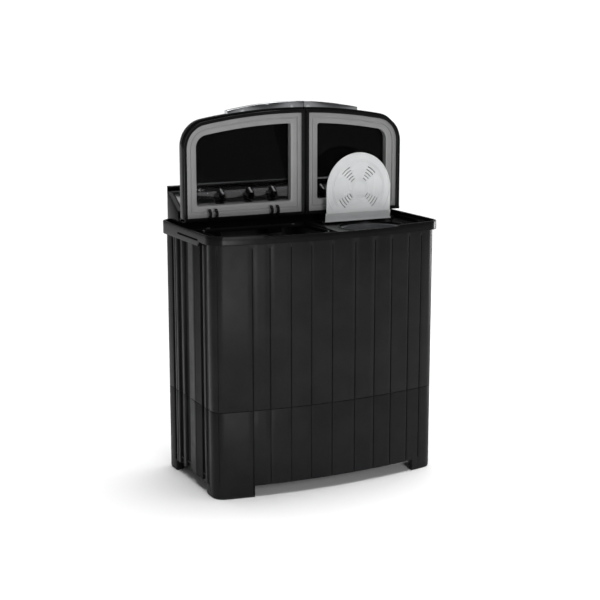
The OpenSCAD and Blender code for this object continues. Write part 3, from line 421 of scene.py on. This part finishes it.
def make_finishes():
    """Every finish by the record's slot name."""
    tone = colours()
    return {
        "cabinet_plastic": black_abs("moulded_abs_cabinet", tone.body, 0.33, 0.41),
        "base_plastic": black_abs("moulded_abs_base", shade(tone.body, 0.95), 0.36, 0.44),
        "deck_plastic": black_abs("moulded_abs_deck", tone.deck, 0.20, 0.27),
        "lid_plastic": black_abs("moulded_abs_lid", tone.deck, 0.16, 0.22),
        "knob_plastic": black_abs("moulded_abs_knob", shade(tone.deck, 0.9), 0.14, 0.2),
        # hard-coated polycarbonate film: a deeper, glossier black than the deck around it
        "fascia": finish(
            "printed_polycarbonate_film",
            {"IOR": 1.58, "Specular IOR Level": 0.2, "Coat Weight": 0.1, "Coat Roughness": 0.08},
            (linear("#0b0b0c"), linear("#101011"), 120), (0.10, 0.15, 40), (0.004, 2.5)),
        "pad_rubber": rubber("epdm_foot_rubber", "#161616", 1.5),
        "gland_rubber": rubber("epdm_seal_rubber", "#1a1a1a", 1.2),
        "belt_rubber": rubber("neoprene_belt_rubber", "#131313", 0.8),
        "screw_steel": steel("zinc_plated_steel", "#c4c6c8", 0.24, 0.38, (1, 1, 6)),
        "cast_metal": steel("die_cast_aluminium", "#b8babc", 0.38, 0.55, (1, 1, 1), 1.6),
        "shaft_steel": steel("turned_steel", "#bfc1c3", 0.16, 0.28, (1, 1, 14)),
        "bracket_steel": steel("galvanised_steel", "#a6a9ab", 0.34, 0.52, (1, 1, 1), 4.0),
        "basket_steel": steel("rolled_stainless_steel", "#c9cbcd", 0.2, 0.34, (1, 1, 9)),
        # baked alkyd enamel on a steel can: even grey with a slight orange peel
        "motor_paint": finish(
            "baked_enamel", {"IOR": 1.5, "Coat Weight": 0.3, "Coat Roughness": 0.15},
            (linear("#5c5f62"), linear("#66696c"), 70), (0.28, 0.4, 18), (0.02, 2.2)),
        "inlet_plastic": polymer("moulded_polypropylene_white", linear("#dcdcda"), 0.3, 0.42, 0.05),
        "tub_plastic": polymer("moulded_polypropylene_tub", tone.tub, 0.26, 0.38, 0.05),
        "filter_plastic": polymer("moulded_nylon_white", linear("#dfe3e5"), 0.3, 0.42, 0.05),
        "ring_plastic": polymer("moulded_polypropylene_grey", linear("#5c5d5f"), 0.28, 0.4),
        "electric_plastic": polymer("moulded_nylon_cream", linear("#ddd6c4"), 0.34, 0.46),
        "drain_plastic": polymer("moulded_polypropylene_dark", linear("#404347"), 0.32, 0.44),
        "liner_plastic": polymer("moulded_abs_grey", tone.liner, 0.36, 0.46),
        # milky polypropylene: light spreads through it, so its folds and ribs show softly
        "cover_plastic": finish(
            "translucent_polypropylene",
            {"IOR": 1.49, "Transmission Weight": 0.2, "Subsurface Weight": 0.3,
             "Subsurface Radius": (0.006, 0.006, 0.006), "Subsurface Scale": 1.0},
            (shade(tone.cover, 0.97), shade(tone.cover, 1.02), 50), (0.30, 0.42, 16), (0.01, 1.4)),
        "smoked_window": smoked_acrylic(tone.window),
        "pointer": finish(
            "hot_stamped_pointer", {"IOR": 1.5, "Specular IOR Level": 0.4},
            (linear("#eeeeec"), linear("#f6f6f4"), 30), (0.22, 0.3, 8), (0.004, 2)),
        # chrome over moulded plastic: a mirror with the faint waves of the moulding under it
        "chrome_strip": finish(
            "chrome_plated_strip", {"Metallic": 1.0},
            (linear("#b0b2b4"), linear("#bcbec0"), 40), (0.05, 0.09, 8), (0.006, 12), (1, 1, 0.3)),
    }


FINISHES = {}


def finish_of(slot):
    """The finish of a slot, made once."""
    if not FINISHES:
        FINISHES.update(make_finishes())
    return FINISHES[slot]


def slot_of(node):
    """The record's slot of a frame node."""
    return next(s["material_slot"] for s in frame["record"]["subparts"] if s["node"] == node)


def body_of(node):
    """The body that a frame node rides on."""
    return frame["nodes"][node]["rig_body"]


def reshaped(node, width, angle=40.0, smooth=30.0):
    """Stands a bevelled copy of a frame node in its place, on the node's body and with its slot's
    finish.
    """
    slot = slot_of(node)
    obj = softened(node + "_moulding", node, width, angle)
    return settle(obj, finish_of(slot), body_of(node), [node], smooth)


class WASHER_OT_finishes(bpy.types.Operator):
    """Give every part that keeps its frame mesh its own finish"""
    bl_idname = "washer.finishes"
    bl_label = "Finishes"

    def execute(self, context):
        for name, obj in frame["nodes"].items():
            for place in obj.material_slots:
                place.material = finish_of(slot_of(name))
        return {"FINISHED"}


class WASHER_OT_small_mouldings(bpy.types.Operator):
    """Build the cabinet, base, panel, its fascia and the spin cover with their edges rounded"""
    bl_idname = "washer.small_mouldings"
    bl_label = "Cabinet and covers"

    def execute(self, context):
        for node, width in (
                ("cabinet_shell", shape().lip), ("base_frame", shape().lip), ("control_panel", 2.0),
                ("panel_fascia", 0.3), ("spin_cover", shape().edge)):
            reshaped(node, width)
        return {"FINISHED"}


# ---------------------------------------------------------------- deck
SKIRT_SIDE, SKIRT_FRONT, SKIRT_START = 38, 26, -90  # how far the rim hangs down, and where it changes
GRIP_D, GRIP_START, GRIP_END = 7.0, -76, 66  # the slot over each side's grip
GRIP_LOW, GRIP_HIGH, RIM_FOOT = RIM_H - 24, RIM_H - 18, RIM_H - 20


def rim_columns():
    """Points round the deck's outer edge, anticlockwise, each with its inward direction."""
    size = shape()
    bow = (HALF_W ** 2 + size.front_bow ** 2) / (2 * size.front_bow)
    bow_y = bow - RIM_D / 2
    cx = HALF_W - size.front_r
    cy = bow_y - math.sqrt((bow - size.front_r) ** 2 - cx ** 2)
    rx, ry = HALF_W - size.rear_r, RIM_D / 2 - size.rear_r
    turn = math.degrees(math.atan2(bow_y - cy, cx))
    columns = []

    def line(x0, y0, x1, y1):
        length = math.dist((x0, y0), (x1, y1))
        ux, uy = (x1 - x0) / length, (y1 - y0) / length
        columns.extend((x0 + ux * s, y0 + uy * s, -uy, ux) for s in spread(0, length, 9.0)[:-1])

    def arc(x, y, r, a0, a1, step):
        for a in spread(math.radians(a0), math.radians(a1), step / r)[:-1]:
            columns.append((x + r * math.cos(a), y + r * math.sin(a), -math.cos(a), -math.sin(a)))

    line(-HALF_W, ry, -HALF_W, cy)
    arc(-cx, cy, size.front_r, 180, 180 + turn, 4.0)
    arc(0, bow_y, bow, 180 + turn, 360 - turn, 8.0)
    arc(cx, cy, size.front_r, 360 - turn, 360, 4.0)
    line(HALF_W, cy, HALF_W, ry)
    arc(rx, ry, size.rear_r, 0, 90, 4.0)
    line(rx, RIM_D / 2, -rx, RIM_D / 2)
    arc(-rx, ry, size.rear_r, 90, 180, 4.0)
    return columns


class WASHER_OT_deck(bpy.types.Operator):
    """Build the deck with its rounded rim, the finger bay in front and the grips at the sides"""
    bl_idname = "washer.deck"
    bl_label = "Deck"

    def execute(self, context):
        size = shape()
        columns = rim_columns()
        wall, soft = size.rim_wall, size.rim_round
        rings = []
        for x, y, nx, ny in columns:
            side = abs(x) > HALF_W - 3
            low = RIM_H - (SKIRT_SIDE if y > SKIRT_START else SKIRT_FRONT)
            grip = GRIP_D if side and GRIP_START < y < GRIP_END else 0.0
            edge = (abs(x) - size.bay_half) / 6
            dip = size.bay_d * max(0.0, min(1.0, 0.5 - edge)) if y < 0 else 0.0
            top = RIM_H - dip
            profile = [
                (wall, low), (1, low), (0.3, low + 0.3), (0, low + 1), (0, GRIP_LOW),
                (grip, GRIP_LOW + 0.4), (grip, GRIP_HIGH - 0.4), (0, GRIP_HIGH), (0, top - soft),
                (soft * 0.3, top - soft * 0.3), (soft, top), (wall - 2, top),
                (wall - 0.6, top - 0.5), (wall, top - 1.6), (wall, RIM_FOOT)]
            rings.append([(x + nx * d, y + ny * d, z) for d, z in profile])
        piece("deck_rim", *loft(rings, closed=True), finish_of("deck_plastic"), "cabinet",
              "deck_plastic", [], 28.0)
        well = [[(x + nx * (wall + 0.05), y + ny * (wall + 0.05), z) for x, y, nx, ny in columns]
                for z in (DECK[0][2] - 5, RIM_H + 5)]
        inner = softened("deck_well", "top_deck", size.edge, 40.0, [loft(well)])
        settle(inner, finish_of("deck_plastic"), "cabinet", ["top_deck"], 30.0)
        return {"FINISHED"}


# ---------------------------------------------------------------- lids
LID_FRAME = 10.0
LID_HALF = LID_FRAME - LINER[0][0]
LID_BOTTOM = LINER[0][2] - LID_FRAME
LID_TOP, LID_BACK, LID_FACE = LID[1][2], TRIM[1][1], LINER[0][1] - 8.0
LIDS = (("wash_lid", LINER[1][0] + LID_FRAME, 1),
        ("spin_lid", -mm_box("spin_lid_liner")[0][0] + LID_FRAME, -1))
BOW_STEPS, TURN_STEPS = 36, 16  # along a lid's bowed edge, and round its big corner
RING_BODY = BOW_STEPS + TURN_STEPS - 8  # points of a ring besides its three small corners
WAVES = {1: (-166, 159), -1: (47, 178)}  # where a strip's lean starts a wave, and its length, by side


def lid_bow():
    """Radius of the lids' bowed front edge."""
    bow = shape().front_bow
    return (HALF_W ** 2 + bow ** 2) / (2 * bow) - shape().rim_wall


def lid_ring(edge, side, inset, y, top=0.0, small=1.0):
    """Points round a lid at one depth. edge is the seam side, small rounds the three sharp corners."""
    half, z0, right = LID_HALF - inset, LID_BOTTOM + inset, edge - inset
    bow = lid_bow() - inset - top
    zc = LID_TOP - lid_bow()
    r = max(shape().lid_r - inset, 8.0)
    fz = zc + math.sqrt((bow - r) ** 2 - (half - r) ** 2)
    end = math.pi - math.atan2(fz - zc, half - r)
    start = math.acos(right / bow)
    arc = [(bow * math.cos(a), zc + bow * math.sin(a))
           for a in (start + (end - start) * i / BOW_STEPS for i in range(BOW_STEPS + 1))]
    corner = [(-half + r + r * math.cos(a), fz + r * math.sin(a))
              for a in (end + (math.pi - end) * i / TURN_STEPS for i in range(1, TURN_STEPS + 1))]
    points = []
    for a, b, c in ((corner[-1], (-half, z0), (right, z0)), ((-half, z0), (right, z0), arc[0]),
                    ((right, z0), arc[0], arc[6])):
        points += fillet([a, b, c], small, 4)[1:-1]
    first = next(i for i, p in enumerate(arc) if p[0] < points[-1][0] - 0.5)
    body = arc[first:] + corner
    body = [body[round(i * (len(body) - 1) / (RING_BODY - 1))] for i in range(RING_BODY)]
    return [(side * x, y, z) for x, z in points + body]


def lid_loft(edge, side, profile, closed=True, small=1.0):
    """A skin from (inset, y, top, corner) steps."""
    rings = [lid_ring(edge, side, step[0], step[1], step[2] if len(step) > 2 else 0.0,
                      step[3] if len(step) > 3 else small) for step in profile]
    return loft(rings, closed=closed)


class WASHER_OT_lids(bpy.types.Operator):
    """Build both lids: rounded shells, stepped grey frames, smoked windows and bright strips"""
    bl_idname = "washer.lids"
    bl_label = "Lids"

    def execute(self, context):
        y0, y1 = LID_FACE, LID_BACK
        soft = shape().lid_round
        for name, edge, side in LIDS:
            shell = lid_loft(edge, side, [
                (43, y1 - 3, 0, 9), (43, y1, 0, 9), (soft, y1, 0, 3), (soft * 0.3, y1 - soft * 0.25),
                (0, y1 - soft), (0, y0 + 16), (0, y0 + 16, 6), (0, y0 + 1.5, 6),
                (0.8, y0 + 0.3, 6), (2, y0, 6), (9, y0, 6), (10, y0 + 0.6, 6), (10, y0 + 8, 6),
                (3, y0 + 9, 6), (3, y1 - 4)])
            piece(name + "_skin", *shell, finish_of("lid_plastic"), name, "lid_plastic", [], 35.0)
            low, step, high = LID_BOTTOM - 40, LID_BOTTOM + 8.2, LID_BOTTOM + 60
            around = [(y0 - 30, low), (y1 + 30, low), (y1 + 30, high), (y1 + 0.05, high),
                      (y1 + 0.05, step), (y0 - 0.05, step), (y0 - 0.05, high), (y0 - 30, high)]
            keep = loft([[(x, y, z) for y, z in around] for x in (-HALF_W, HALF_W)])
            hooks = softened(name + "_hooks", name + "_shell", shape().edge, 40.0, [keep])
            settle(hooks, finish_of("lid_plastic"), name, [name + "_shell"], 30.0)
            liner = lid_loft(edge, side, [
                (10, y0 + 8.2, 6), (11, y0 + 8, 6), (22, y0 + 8, 6), (23, y0 + 8.8, 6),
                (23.8, y0 + 11.4, 6), (26, y0 + 11.6, 6), (26.6, y0 + 10.2, 6),
                (37, y0 + 10.8, 6, 6), (41, y0 + 11.6, 5, 8), (42.6, y0 + 12.2, 4, 9),
                (43.4, y0 + 14, 3, 9), (43.4, y1 - 6.2, 0, 9), (40, y1 - 6.2, 3, 6),
                (39, y0 + 14, 6, 3), (10, y0 + 14, 6)])
            piece(name + "_frame", *liner, finish_of("liner_plastic"), name, "liner_plastic",
                  [name + "_liner"], 24.0)
            pane = lid_loft(edge, side, [
                (38, y1 - 6, 0, 6), (37.2, y1 - 5.4, 0, 6), (37.2, y1 - 3.6, 0, 6),
                (38, y1 - 3.05, 0, 6)], False)
            piece(name + "_pane", *pane, finish_of("smoked_window"), name, "smoked_window",
                  [name + "_window"], 30.0)
            self.strip(name, edge, side)
        return {"FINISHED"}

    def strip(self, name, edge, side):
        """The bright strip: a lens on the lid's edge whose face leans back in slow waves."""
        low, high = mm_box(name + "_trim")
        bow, half = lid_bow(), TRIM[0][0] - 0.5
        rise = bow - math.sqrt(bow ** 2 - half ** 2) + (TRIM[1][2] - LID_TOP) - shape().strip_end
        r = (half ** 2 + rise ** 2) / (2 * rise)
        zt, zb = LID_TOP + (TRIM[1][2] - LID_TOP) - r, LID_TOP - bow
        start, length = WAVES[side]
        rings = []
        for x in spread(low[0] + 0.2, high[0] - 0.2, 4.0):
            base = zb + math.sqrt(bow ** 2 - x ** 2)
            top = zt + math.sqrt(r ** 2 - x ** 2)
            tall = max(top - base, 0.3)
            wave = 0.5 - 0.5 * math.cos(2 * math.pi * (x - start) / length)
            lean = tall * (0.02 + 0.5 * wave)
            bead = min(1.2, tall * 0.3)
            rings.append([(x, y, z) for y, z in (
                (low[1], base), (low[1] + lean * 0.25, base + tall * 0.4),
                (low[1] + lean * 0.6, base + tall * 0.75), (low[1] + lean, top - bead),
                (low[1] + lean + bead * 0.3, top - bead * 0.3), (low[1] + lean + bead, top),
                ((low[1] + high[1]) / 2, top), (high[1] - bead, top),
                (high[1] - bead * 0.3, top - bead * 0.3), (high[1], top - bead), (high[1], base))])
        piece(name + "_strip", *loft(rings), finish_of("chrome_strip"), name, "chrome_strip",
              [name + "_trim"], 50.0)


# ---------------------------------------------------------------- knobs
KNOBS = ("wash_timer_knob", "wash_mode_knob", "drain_knob", "spin_timer_knob")
GRIP_HALF = 8.0  # half the width of a knob's grip
TIMER_SWEEP, SELECTOR_SWEEP = 300.0, 90.0  # degrees of the scales round the knobs
SCALE_R, STROKE_HALF = 21.6, 0.4  # where a scale's strokes start, and half their width


class WASHER_OT_knobs(bpy.types.Operator):
    """Build the four knobs with their skirts, grips and pale pointers"""
    bl_idname = "washer.knobs"
    bl_label = "Knobs"

    def execute(self, context):
        marks = []
        for joint in frame["joints"]:
            if joint["child"] not in KNOBS:
                continue
            name = joint["child"]
            centre = [v / MM for v in joint["pos_m"]]
            axis = joint["axis"]
            turn = Matrix.Rotation(math.atan2(-axis[1], axis[2]), 3, "X")
            profile = [(0, 0.3), (18.6, 0.3), (19, 0.8), (19, 3), (18.4, 3.9), (17.2, 4.3),
                       (16.2, 10), (14.8, 22.6), (13.4, 23.8), (0, 24)]
            stalk = [(0, -18), (2.8, -18), (2.8, 1), (0, 1)]
            verts, faces = merged(turned(profile, centre, axis, 64), turned(stalk, centre, axis, 24))
            obj = piece(name + "_cap", verts, faces, finish_of("knob_plastic"), name, "knob_plastic",
                        [name], 32.0)
            cuts = []
            for s in (-1, 1):
                ring = [(s * GRIP_HALF, -22), (s * 24.0, -22), (s * 24.0, 22), (s * GRIP_HALF, 22)]
                cuts.append(loft([[tuple(turn @ Vector((x, y, z)) + Vector(centre)) for x, y in ring]
                                  for z in (9, 30)]))
            carve(obj, cuts)
            smoothed(bevelled(obj, 0.5, 45), 30)
            ring = [(-2.6, -13.4), (2.6, -13.4), (2.6, 10), (0, 13.6), (-2.6, 10)]
            mark = loft([[tuple(turn @ Vector((x * k, y * k, z)) + Vector(centre)) for x, y in ring]
                         for z, k in ((23.4, 1.0), (24.1, 1.0), (24.3, 0.94))])
            piece(name + "_pointer", *mark, finish_of("pointer"), name, "knob_plastic", [], 30.0)
            sweep = TIMER_SWEEP if "timer" in name else SELECTOR_SWEEP
            marks.append(self.scale(turn, centre, sweep))
        piece("panel_scales", *merged(*marks), finish_of("pointer"), "cabinet", "fascia", [], 30.0)
        return {"FINISHED"}

    def scale(self, turn, centre, sweep):
        """Printed strokes in an arc round a knob, longer at every third."""
        strokes = []
        count = round(sweep / 30) + 1
        for i in range(count):
            a = math.radians(90 + sweep / 2 - sweep * i / (count - 1))
            reach = 3.4 if i % 3 == 0 else 2.0
            along = (math.cos(a), math.sin(a))
            ring = [(along[0] * r - along[1] * w, along[1] * r + along[0] * w)
                    for r, w in ((SCALE_R, -STROKE_HALF), (SCALE_R + reach, -STROKE_HALF),
                                 (SCALE_R + reach, STROKE_HALF), (SCALE_R, STROKE_HALF))]
            strokes.append(loft([[tuple(turn @ Vector((x, y, z)) + Vector(centre)) for x, y in ring]
                                 for z in (-0.05, 0.12)]))
        return merged(*strokes)


# ---------------------------------------------------------------- spin cover
ARCH_DIP = 0.62  # how far past level an arched ring runs at each end, in radians


class WASHER_OT_cover_ribs(bpy.types.Operator):
    """Build the rings that stiffen the spin cover round its boss"""
    bl_idname = "washer.cover_ribs"
    bl_label = "Cover rings"

    def execute(self, context):
        low, high = mm_box("spin_cover")
        radius = (high[0] - low[0]) / 2 - 10
        centre = ((low[0] + high[0]) / 2, low[1] + 1.2, high[2] - radius)
        rings = []
        for r, bead in ((26, 0.9), (30.5, 0.7), (84, 1.0), (88.5, 0.8), (radius - 2.2, 1.1)):
            profile = [(r - bead * 1.4, -0.3), (r - bead, bead * 0.5), (r - bead * 0.4, bead * 0.85),
                       (r + bead * 0.4, bead * 0.85), (r + bead, bead * 0.5), (r + bead * 1.4, -0.3)]
            rings.append(self.hoop(profile, centre, arch=r > 60))
        piece("spin_cover_rings", *merged(*rings), finish_of("cover_plastic"), "spin_cover",
              "cover_plastic", [], 50.0)
        return {"FINISHED"}

    def hoop(self, profile, centre, arch):
        """A bead turned about the boss, whole or as an arch over the fold."""
        start, end = (-ARCH_DIP, math.pi + ARCH_DIP) if arch else (0.0, 2 * math.pi)
        steps = 72
        rings = []
        for i in range(steps + 1 if arch else steps):
            a = start + (end - start) * i / steps
            rings.append([(centre[0] + r * math.cos(a), centre[1] - h, centre[2] + r * math.sin(a))
                          for r, h in profile])
        return loft(rings, closed=not arch)


# ---------------------------------------------------------------- repeated hardware
HEAD_R, HEAD_H, SLOT_W = 4.5, 2.4, 1.1  # a cover screw's head and slot


def group(name, inputs):
    """A geometry tree with named inputs; gives the tree, its input node and the inputs' identifiers."""
    tree = bpy.data.node_groups.new(name, "GeometryNodeTree")
    tree.interface.new_socket("Geometry", in_out="INPUT", socket_type="NodeSocketGeometry")
    ids = {}
    for label, kind, _ in inputs:
        ids[label] = tree.interface.new_socket(label, in_out="INPUT", socket_type=kind).identifier
    tree.interface.new_socket("Geometry", in_out="OUTPUT", socket_type="NodeSocketGeometry")
    return tree, add(tree, "NodeGroupInput"), ids


def grown(name, places, tree, source, ids, inputs, shape_socket, turn, material, body, nodes):
    """Stands a shape on every place and turns the result into one plain mesh."""
    spots = add(tree, "GeometryNodeMeshToPoints", {"Mesh": source.outputs["Geometry"]})
    on = add(tree, "GeometryNodeInstanceOnPoints", {
        "Points": spots.outputs["Points"], "Instance": shape_socket, "Rotation": turn})
    real = add(tree, "GeometryNodeRealizeInstances", {"Geometry": on.outputs["Instances"]})
    coat = add(tree, "GeometryNodeSetMaterial", {
        "Geometry": real.outputs["Geometry"], "Material": source.outputs["Finish"]})
    add(tree, "NodeGroupOutput", {"Geometry": coat.outputs["Geometry"]})
    mesh = bpy.data.meshes.new(name)
    mesh.from_pydata([tuple(v * MM for v in p) for p in places], [], [])
    obj = bpy.data.objects.new(name, mesh)
    bpy.context.scene.collection.objects.link(obj)
    modifier = obj.modifiers.new("Repeat", "NODES")
    modifier.node_group = tree
    for label, _, value in inputs:
        modifier[ids[label]] = value
    plain(obj)
    return settle(obj, material, body, nodes, 40.0)


class WASHER_OT_screws(bpy.types.Operator):
    """Set the six slotted screws of the rear cover"""
    bl_idname = "washer.screws"
    bl_label = "Cover screws"

    def execute(self, context):
        zinc = finish_of("screw_steel")
        low, high = mm_box("cover_screws")
        inputs = [("Head radius", "NodeSocketFloat", HEAD_R * MM),
                  ("Head height", "NodeSocketFloat", HEAD_H * MM),
                  ("Slot width", "NodeSocketFloat", SLOT_W * MM),
                  ("Finish", "NodeSocketMaterial", zinc)]
        tree, source, ids = group("slotted_screws", inputs)
        head = add(tree, "GeometryNodeMeshCylinder", {
            "Vertices": 32, "Radius": source.outputs["Head radius"],
            "Depth": source.outputs["Head height"]})
        slot_size = add(tree, "ShaderNodeCombineXYZ", {
            "X": source.outputs["Slot width"], "Y": 0.02, "Z": source.outputs["Head height"]})
        slot = add(tree, "GeometryNodeMeshCube", {"Size": slot_size.outputs["Vector"]})
        lift = add(tree, "ShaderNodeCombineXYZ", {"Z": source.outputs["Head height"]})
        raised = add(tree, "GeometryNodeTransform", {
            "Geometry": slot.outputs["Mesh"], "Translation": lift.outputs["Vector"]})
        cut = add(tree, "GeometryNodeMeshBoolean", {
            "Mesh 1": head.outputs["Mesh"]}, operation="DIFFERENCE")
        tree.links.new(raised.outputs["Geometry"], cut.inputs["Mesh 2"])
        xs = (low[0] + HEAD_R, high[0] - HEAD_R)
        zs = (low[2] + HEAD_R, (low[2] + high[2]) / 2, high[2] - HEAD_R)
        places = [(x, high[1] - HEAD_H / 2, z) for x in xs for z in zs]
        grown("rear_cover_screws", places, tree, source, ids, inputs, cut.outputs["Mesh"],
              (-math.pi / 2, 0, 0), zinc, "cabinet", ["cover_screws"])
        return {"FINISHED"}


# ---------------------------------------------------------------- stage
class WASHER_OT_stage(bpy.types.Operator):
    """Set the pale floor, the room and the soft lights"""
    bl_idname = "washer.stage"
    bl_label = "Stage"

    def execute(self, context):
        scene = context.scene
        scene.view_settings.view_transform = "Standard"
        mesh = bpy.data.meshes.new("floor")
        half = 30.0
        corners = [(-half, -half, 0), (half, -half, 0), (half, half, 0), (-half, half, 0)]
        mesh.from_pydata(corners, [], [(0, 1, 2, 3)])
        floor = bpy.data.objects.new("floor", mesh)
        scene.collection.objects.link(floor)
        # matt seamless paper: pale and even
        tone = tuple(colours().floor)
        mesh.materials.append(finish(
            "seamless_paper", {"Specular IOR Level": 0.0, "IOR": 1.5},
            (shade(tone, 0.995), shade(tone, 1.005), 300), (0.9, 0.98, 50), (0.01, 3)))
        world = bpy.data.worlds.new("studio")
        world.use_nodes = True
        tree = world.node_tree
        tree.nodes.clear()
        # the room is dim grey, and its wall is bright where it is looked at directly
        eye = add(tree, "ShaderNodeLightPath").outputs["Is Camera Ray"]
        way = add(tree, "ShaderNodeTexCoord").outputs["Generated"]
        up = add(tree, "ShaderNodeSeparateXYZ", {"Vector": way}).outputs["Z"]
        dim = add(tree, "ShaderNodeMapRange", {
            "Value": up, "From Min": 0.0, "From Max": 0.6, "To Min": 0.42, "To Max": 0.10})
        room = add(tree, "ShaderNodeBackground", {"Color": dim.outputs["Result"], "Strength": 1.0})
        wall = add(tree, "ShaderNodeBackground", {"Color": (1.0, 1.0, 1.0, 1.0), "Strength": 1.05})
        both = add(tree, "ShaderNodeMixShader", {"Fac": eye})
        tree.links.new(room.outputs["Background"], both.inputs[1])
        tree.links.new(wall.outputs["Background"], both.inputs[2])
        add(tree, "ShaderNodeOutputWorld", {"Surface": both.outputs["Shader"]})
        scene.world = world
        for name, kind, energy, size, place, aim in (
                ("overhead_sky", "SUN", 3.2, 0.9, (0.45, 0.3, 4.0), (0, 0, 0)),
                ("front_box", "AREA", 50.0, 1.3, (-0.3, -4.4, 1.7), (-0.2, -0.2, 0.45)),
                ("corner_strip", "AREA", 26.0, 0.6, (-0.5, -3.0, 0.42), (-0.3, -0.2, 0.42)),
                ("right_edge", "AREA", 60.0, 0.9, (3.4, 0.2, 0.6), (0.35, -0.1, 0.5))):
            lamp = bpy.data.lights.new(name, kind)
            lamp.energy = energy
            setattr(lamp, "angle" if kind == "SUN" else "size", size)
            obj = bpy.data.objects.new(name, lamp)
            scene.collection.objects.link(obj)
            obj.visible_camera = False
            obj.location = place
            obj.rotation_euler = (Vector(aim) - Vector(place)).to_track_quat("-Z", "Y").to_euler()
        return {"FINISHED"}


class WASHER_OT_camera(bpy.types.Operator):
    """Stand the camera in front, to the left and a little above"""
    bl_idname = "washer.camera"
    bl_label = "Camera"

    def execute(self, context):
        azimuth, elevation, distance = math.radians(-26.4413), math.radians(11.4293), 4.1092
        target = Vector((-0.0093, 0.0, 0.5229))
        back = Vector((math.sin(azimuth) * math.cos(elevation),
                       -math.cos(azimuth) * math.cos(elevation), math.sin(elevation)))
        lens = bpy.data.cameras.new("camera")
        lens.lens = 82.37
        lens.sensor_width = 36.0
        lens.clip_end = 100.0
        obj = bpy.data.objects.new("camera", lens)
        context.scene.collection.objects.link(obj)
        obj.location = target + back * distance
        obj.rotation_euler = (-back).to_track_quat("-Z", "Y").to_euler()
        context.scene.camera = obj
        return {"FINISHED"}


# ---------------------------------------------------------------- add-on
OPERATORS = (
    WASHER_OT_camera, WASHER_OT_finishes, WASHER_OT_small_mouldings, WASHER_OT_deck, WASHER_OT_lids,
    WASHER_OT_knobs, WASHER_OT_cover_ribs, WASHER_OT_screws, WASHER_OT_stage)


class WASHER_PT_sidebar(bpy.types.Panel):
    """Twin tub washing machine"""
    bl_label = "Washer"
    bl_idname = "WASHER_PT_sidebar"
    bl_space_type = "VIEW_3D"
    bl_region_type = "UI"
    bl_category = "Washer"

    def draw(self, context):
        for group in (context.scene.washer_shape, context.scene.washer_colours):
            box = self.layout.box()
            for name in group.__annotations__:
                box.prop(group, name)
        for operator in OPERATORS:
            self.layout.operator(operator.bl_idname)


CLASSES = (WasherShape, WasherColours, *OPERATORS, WASHER_PT_sidebar)


def register():
    for cls in CLASSES:
        bpy.utils.register_class(cls)
    bpy.types.Scene.washer_shape = bpy.props.PointerProperty(type=WasherShape)
    bpy.types.Scene.washer_colours = bpy.props.PointerProperty(type=WasherColours)


def unregister():
    del bpy.types.Scene.washer_colours
    del bpy.types.Scene.washer_shape
    for cls in reversed(CLASSES):
        bpy.utils.unregister_class(cls)


def main():
    register()
    for operator in OPERATORS:
        group, name = operator.bl_idname.split(".")
        getattr(getattr(bpy.ops, group), name)()


if __name__ == "__main__":
    main()
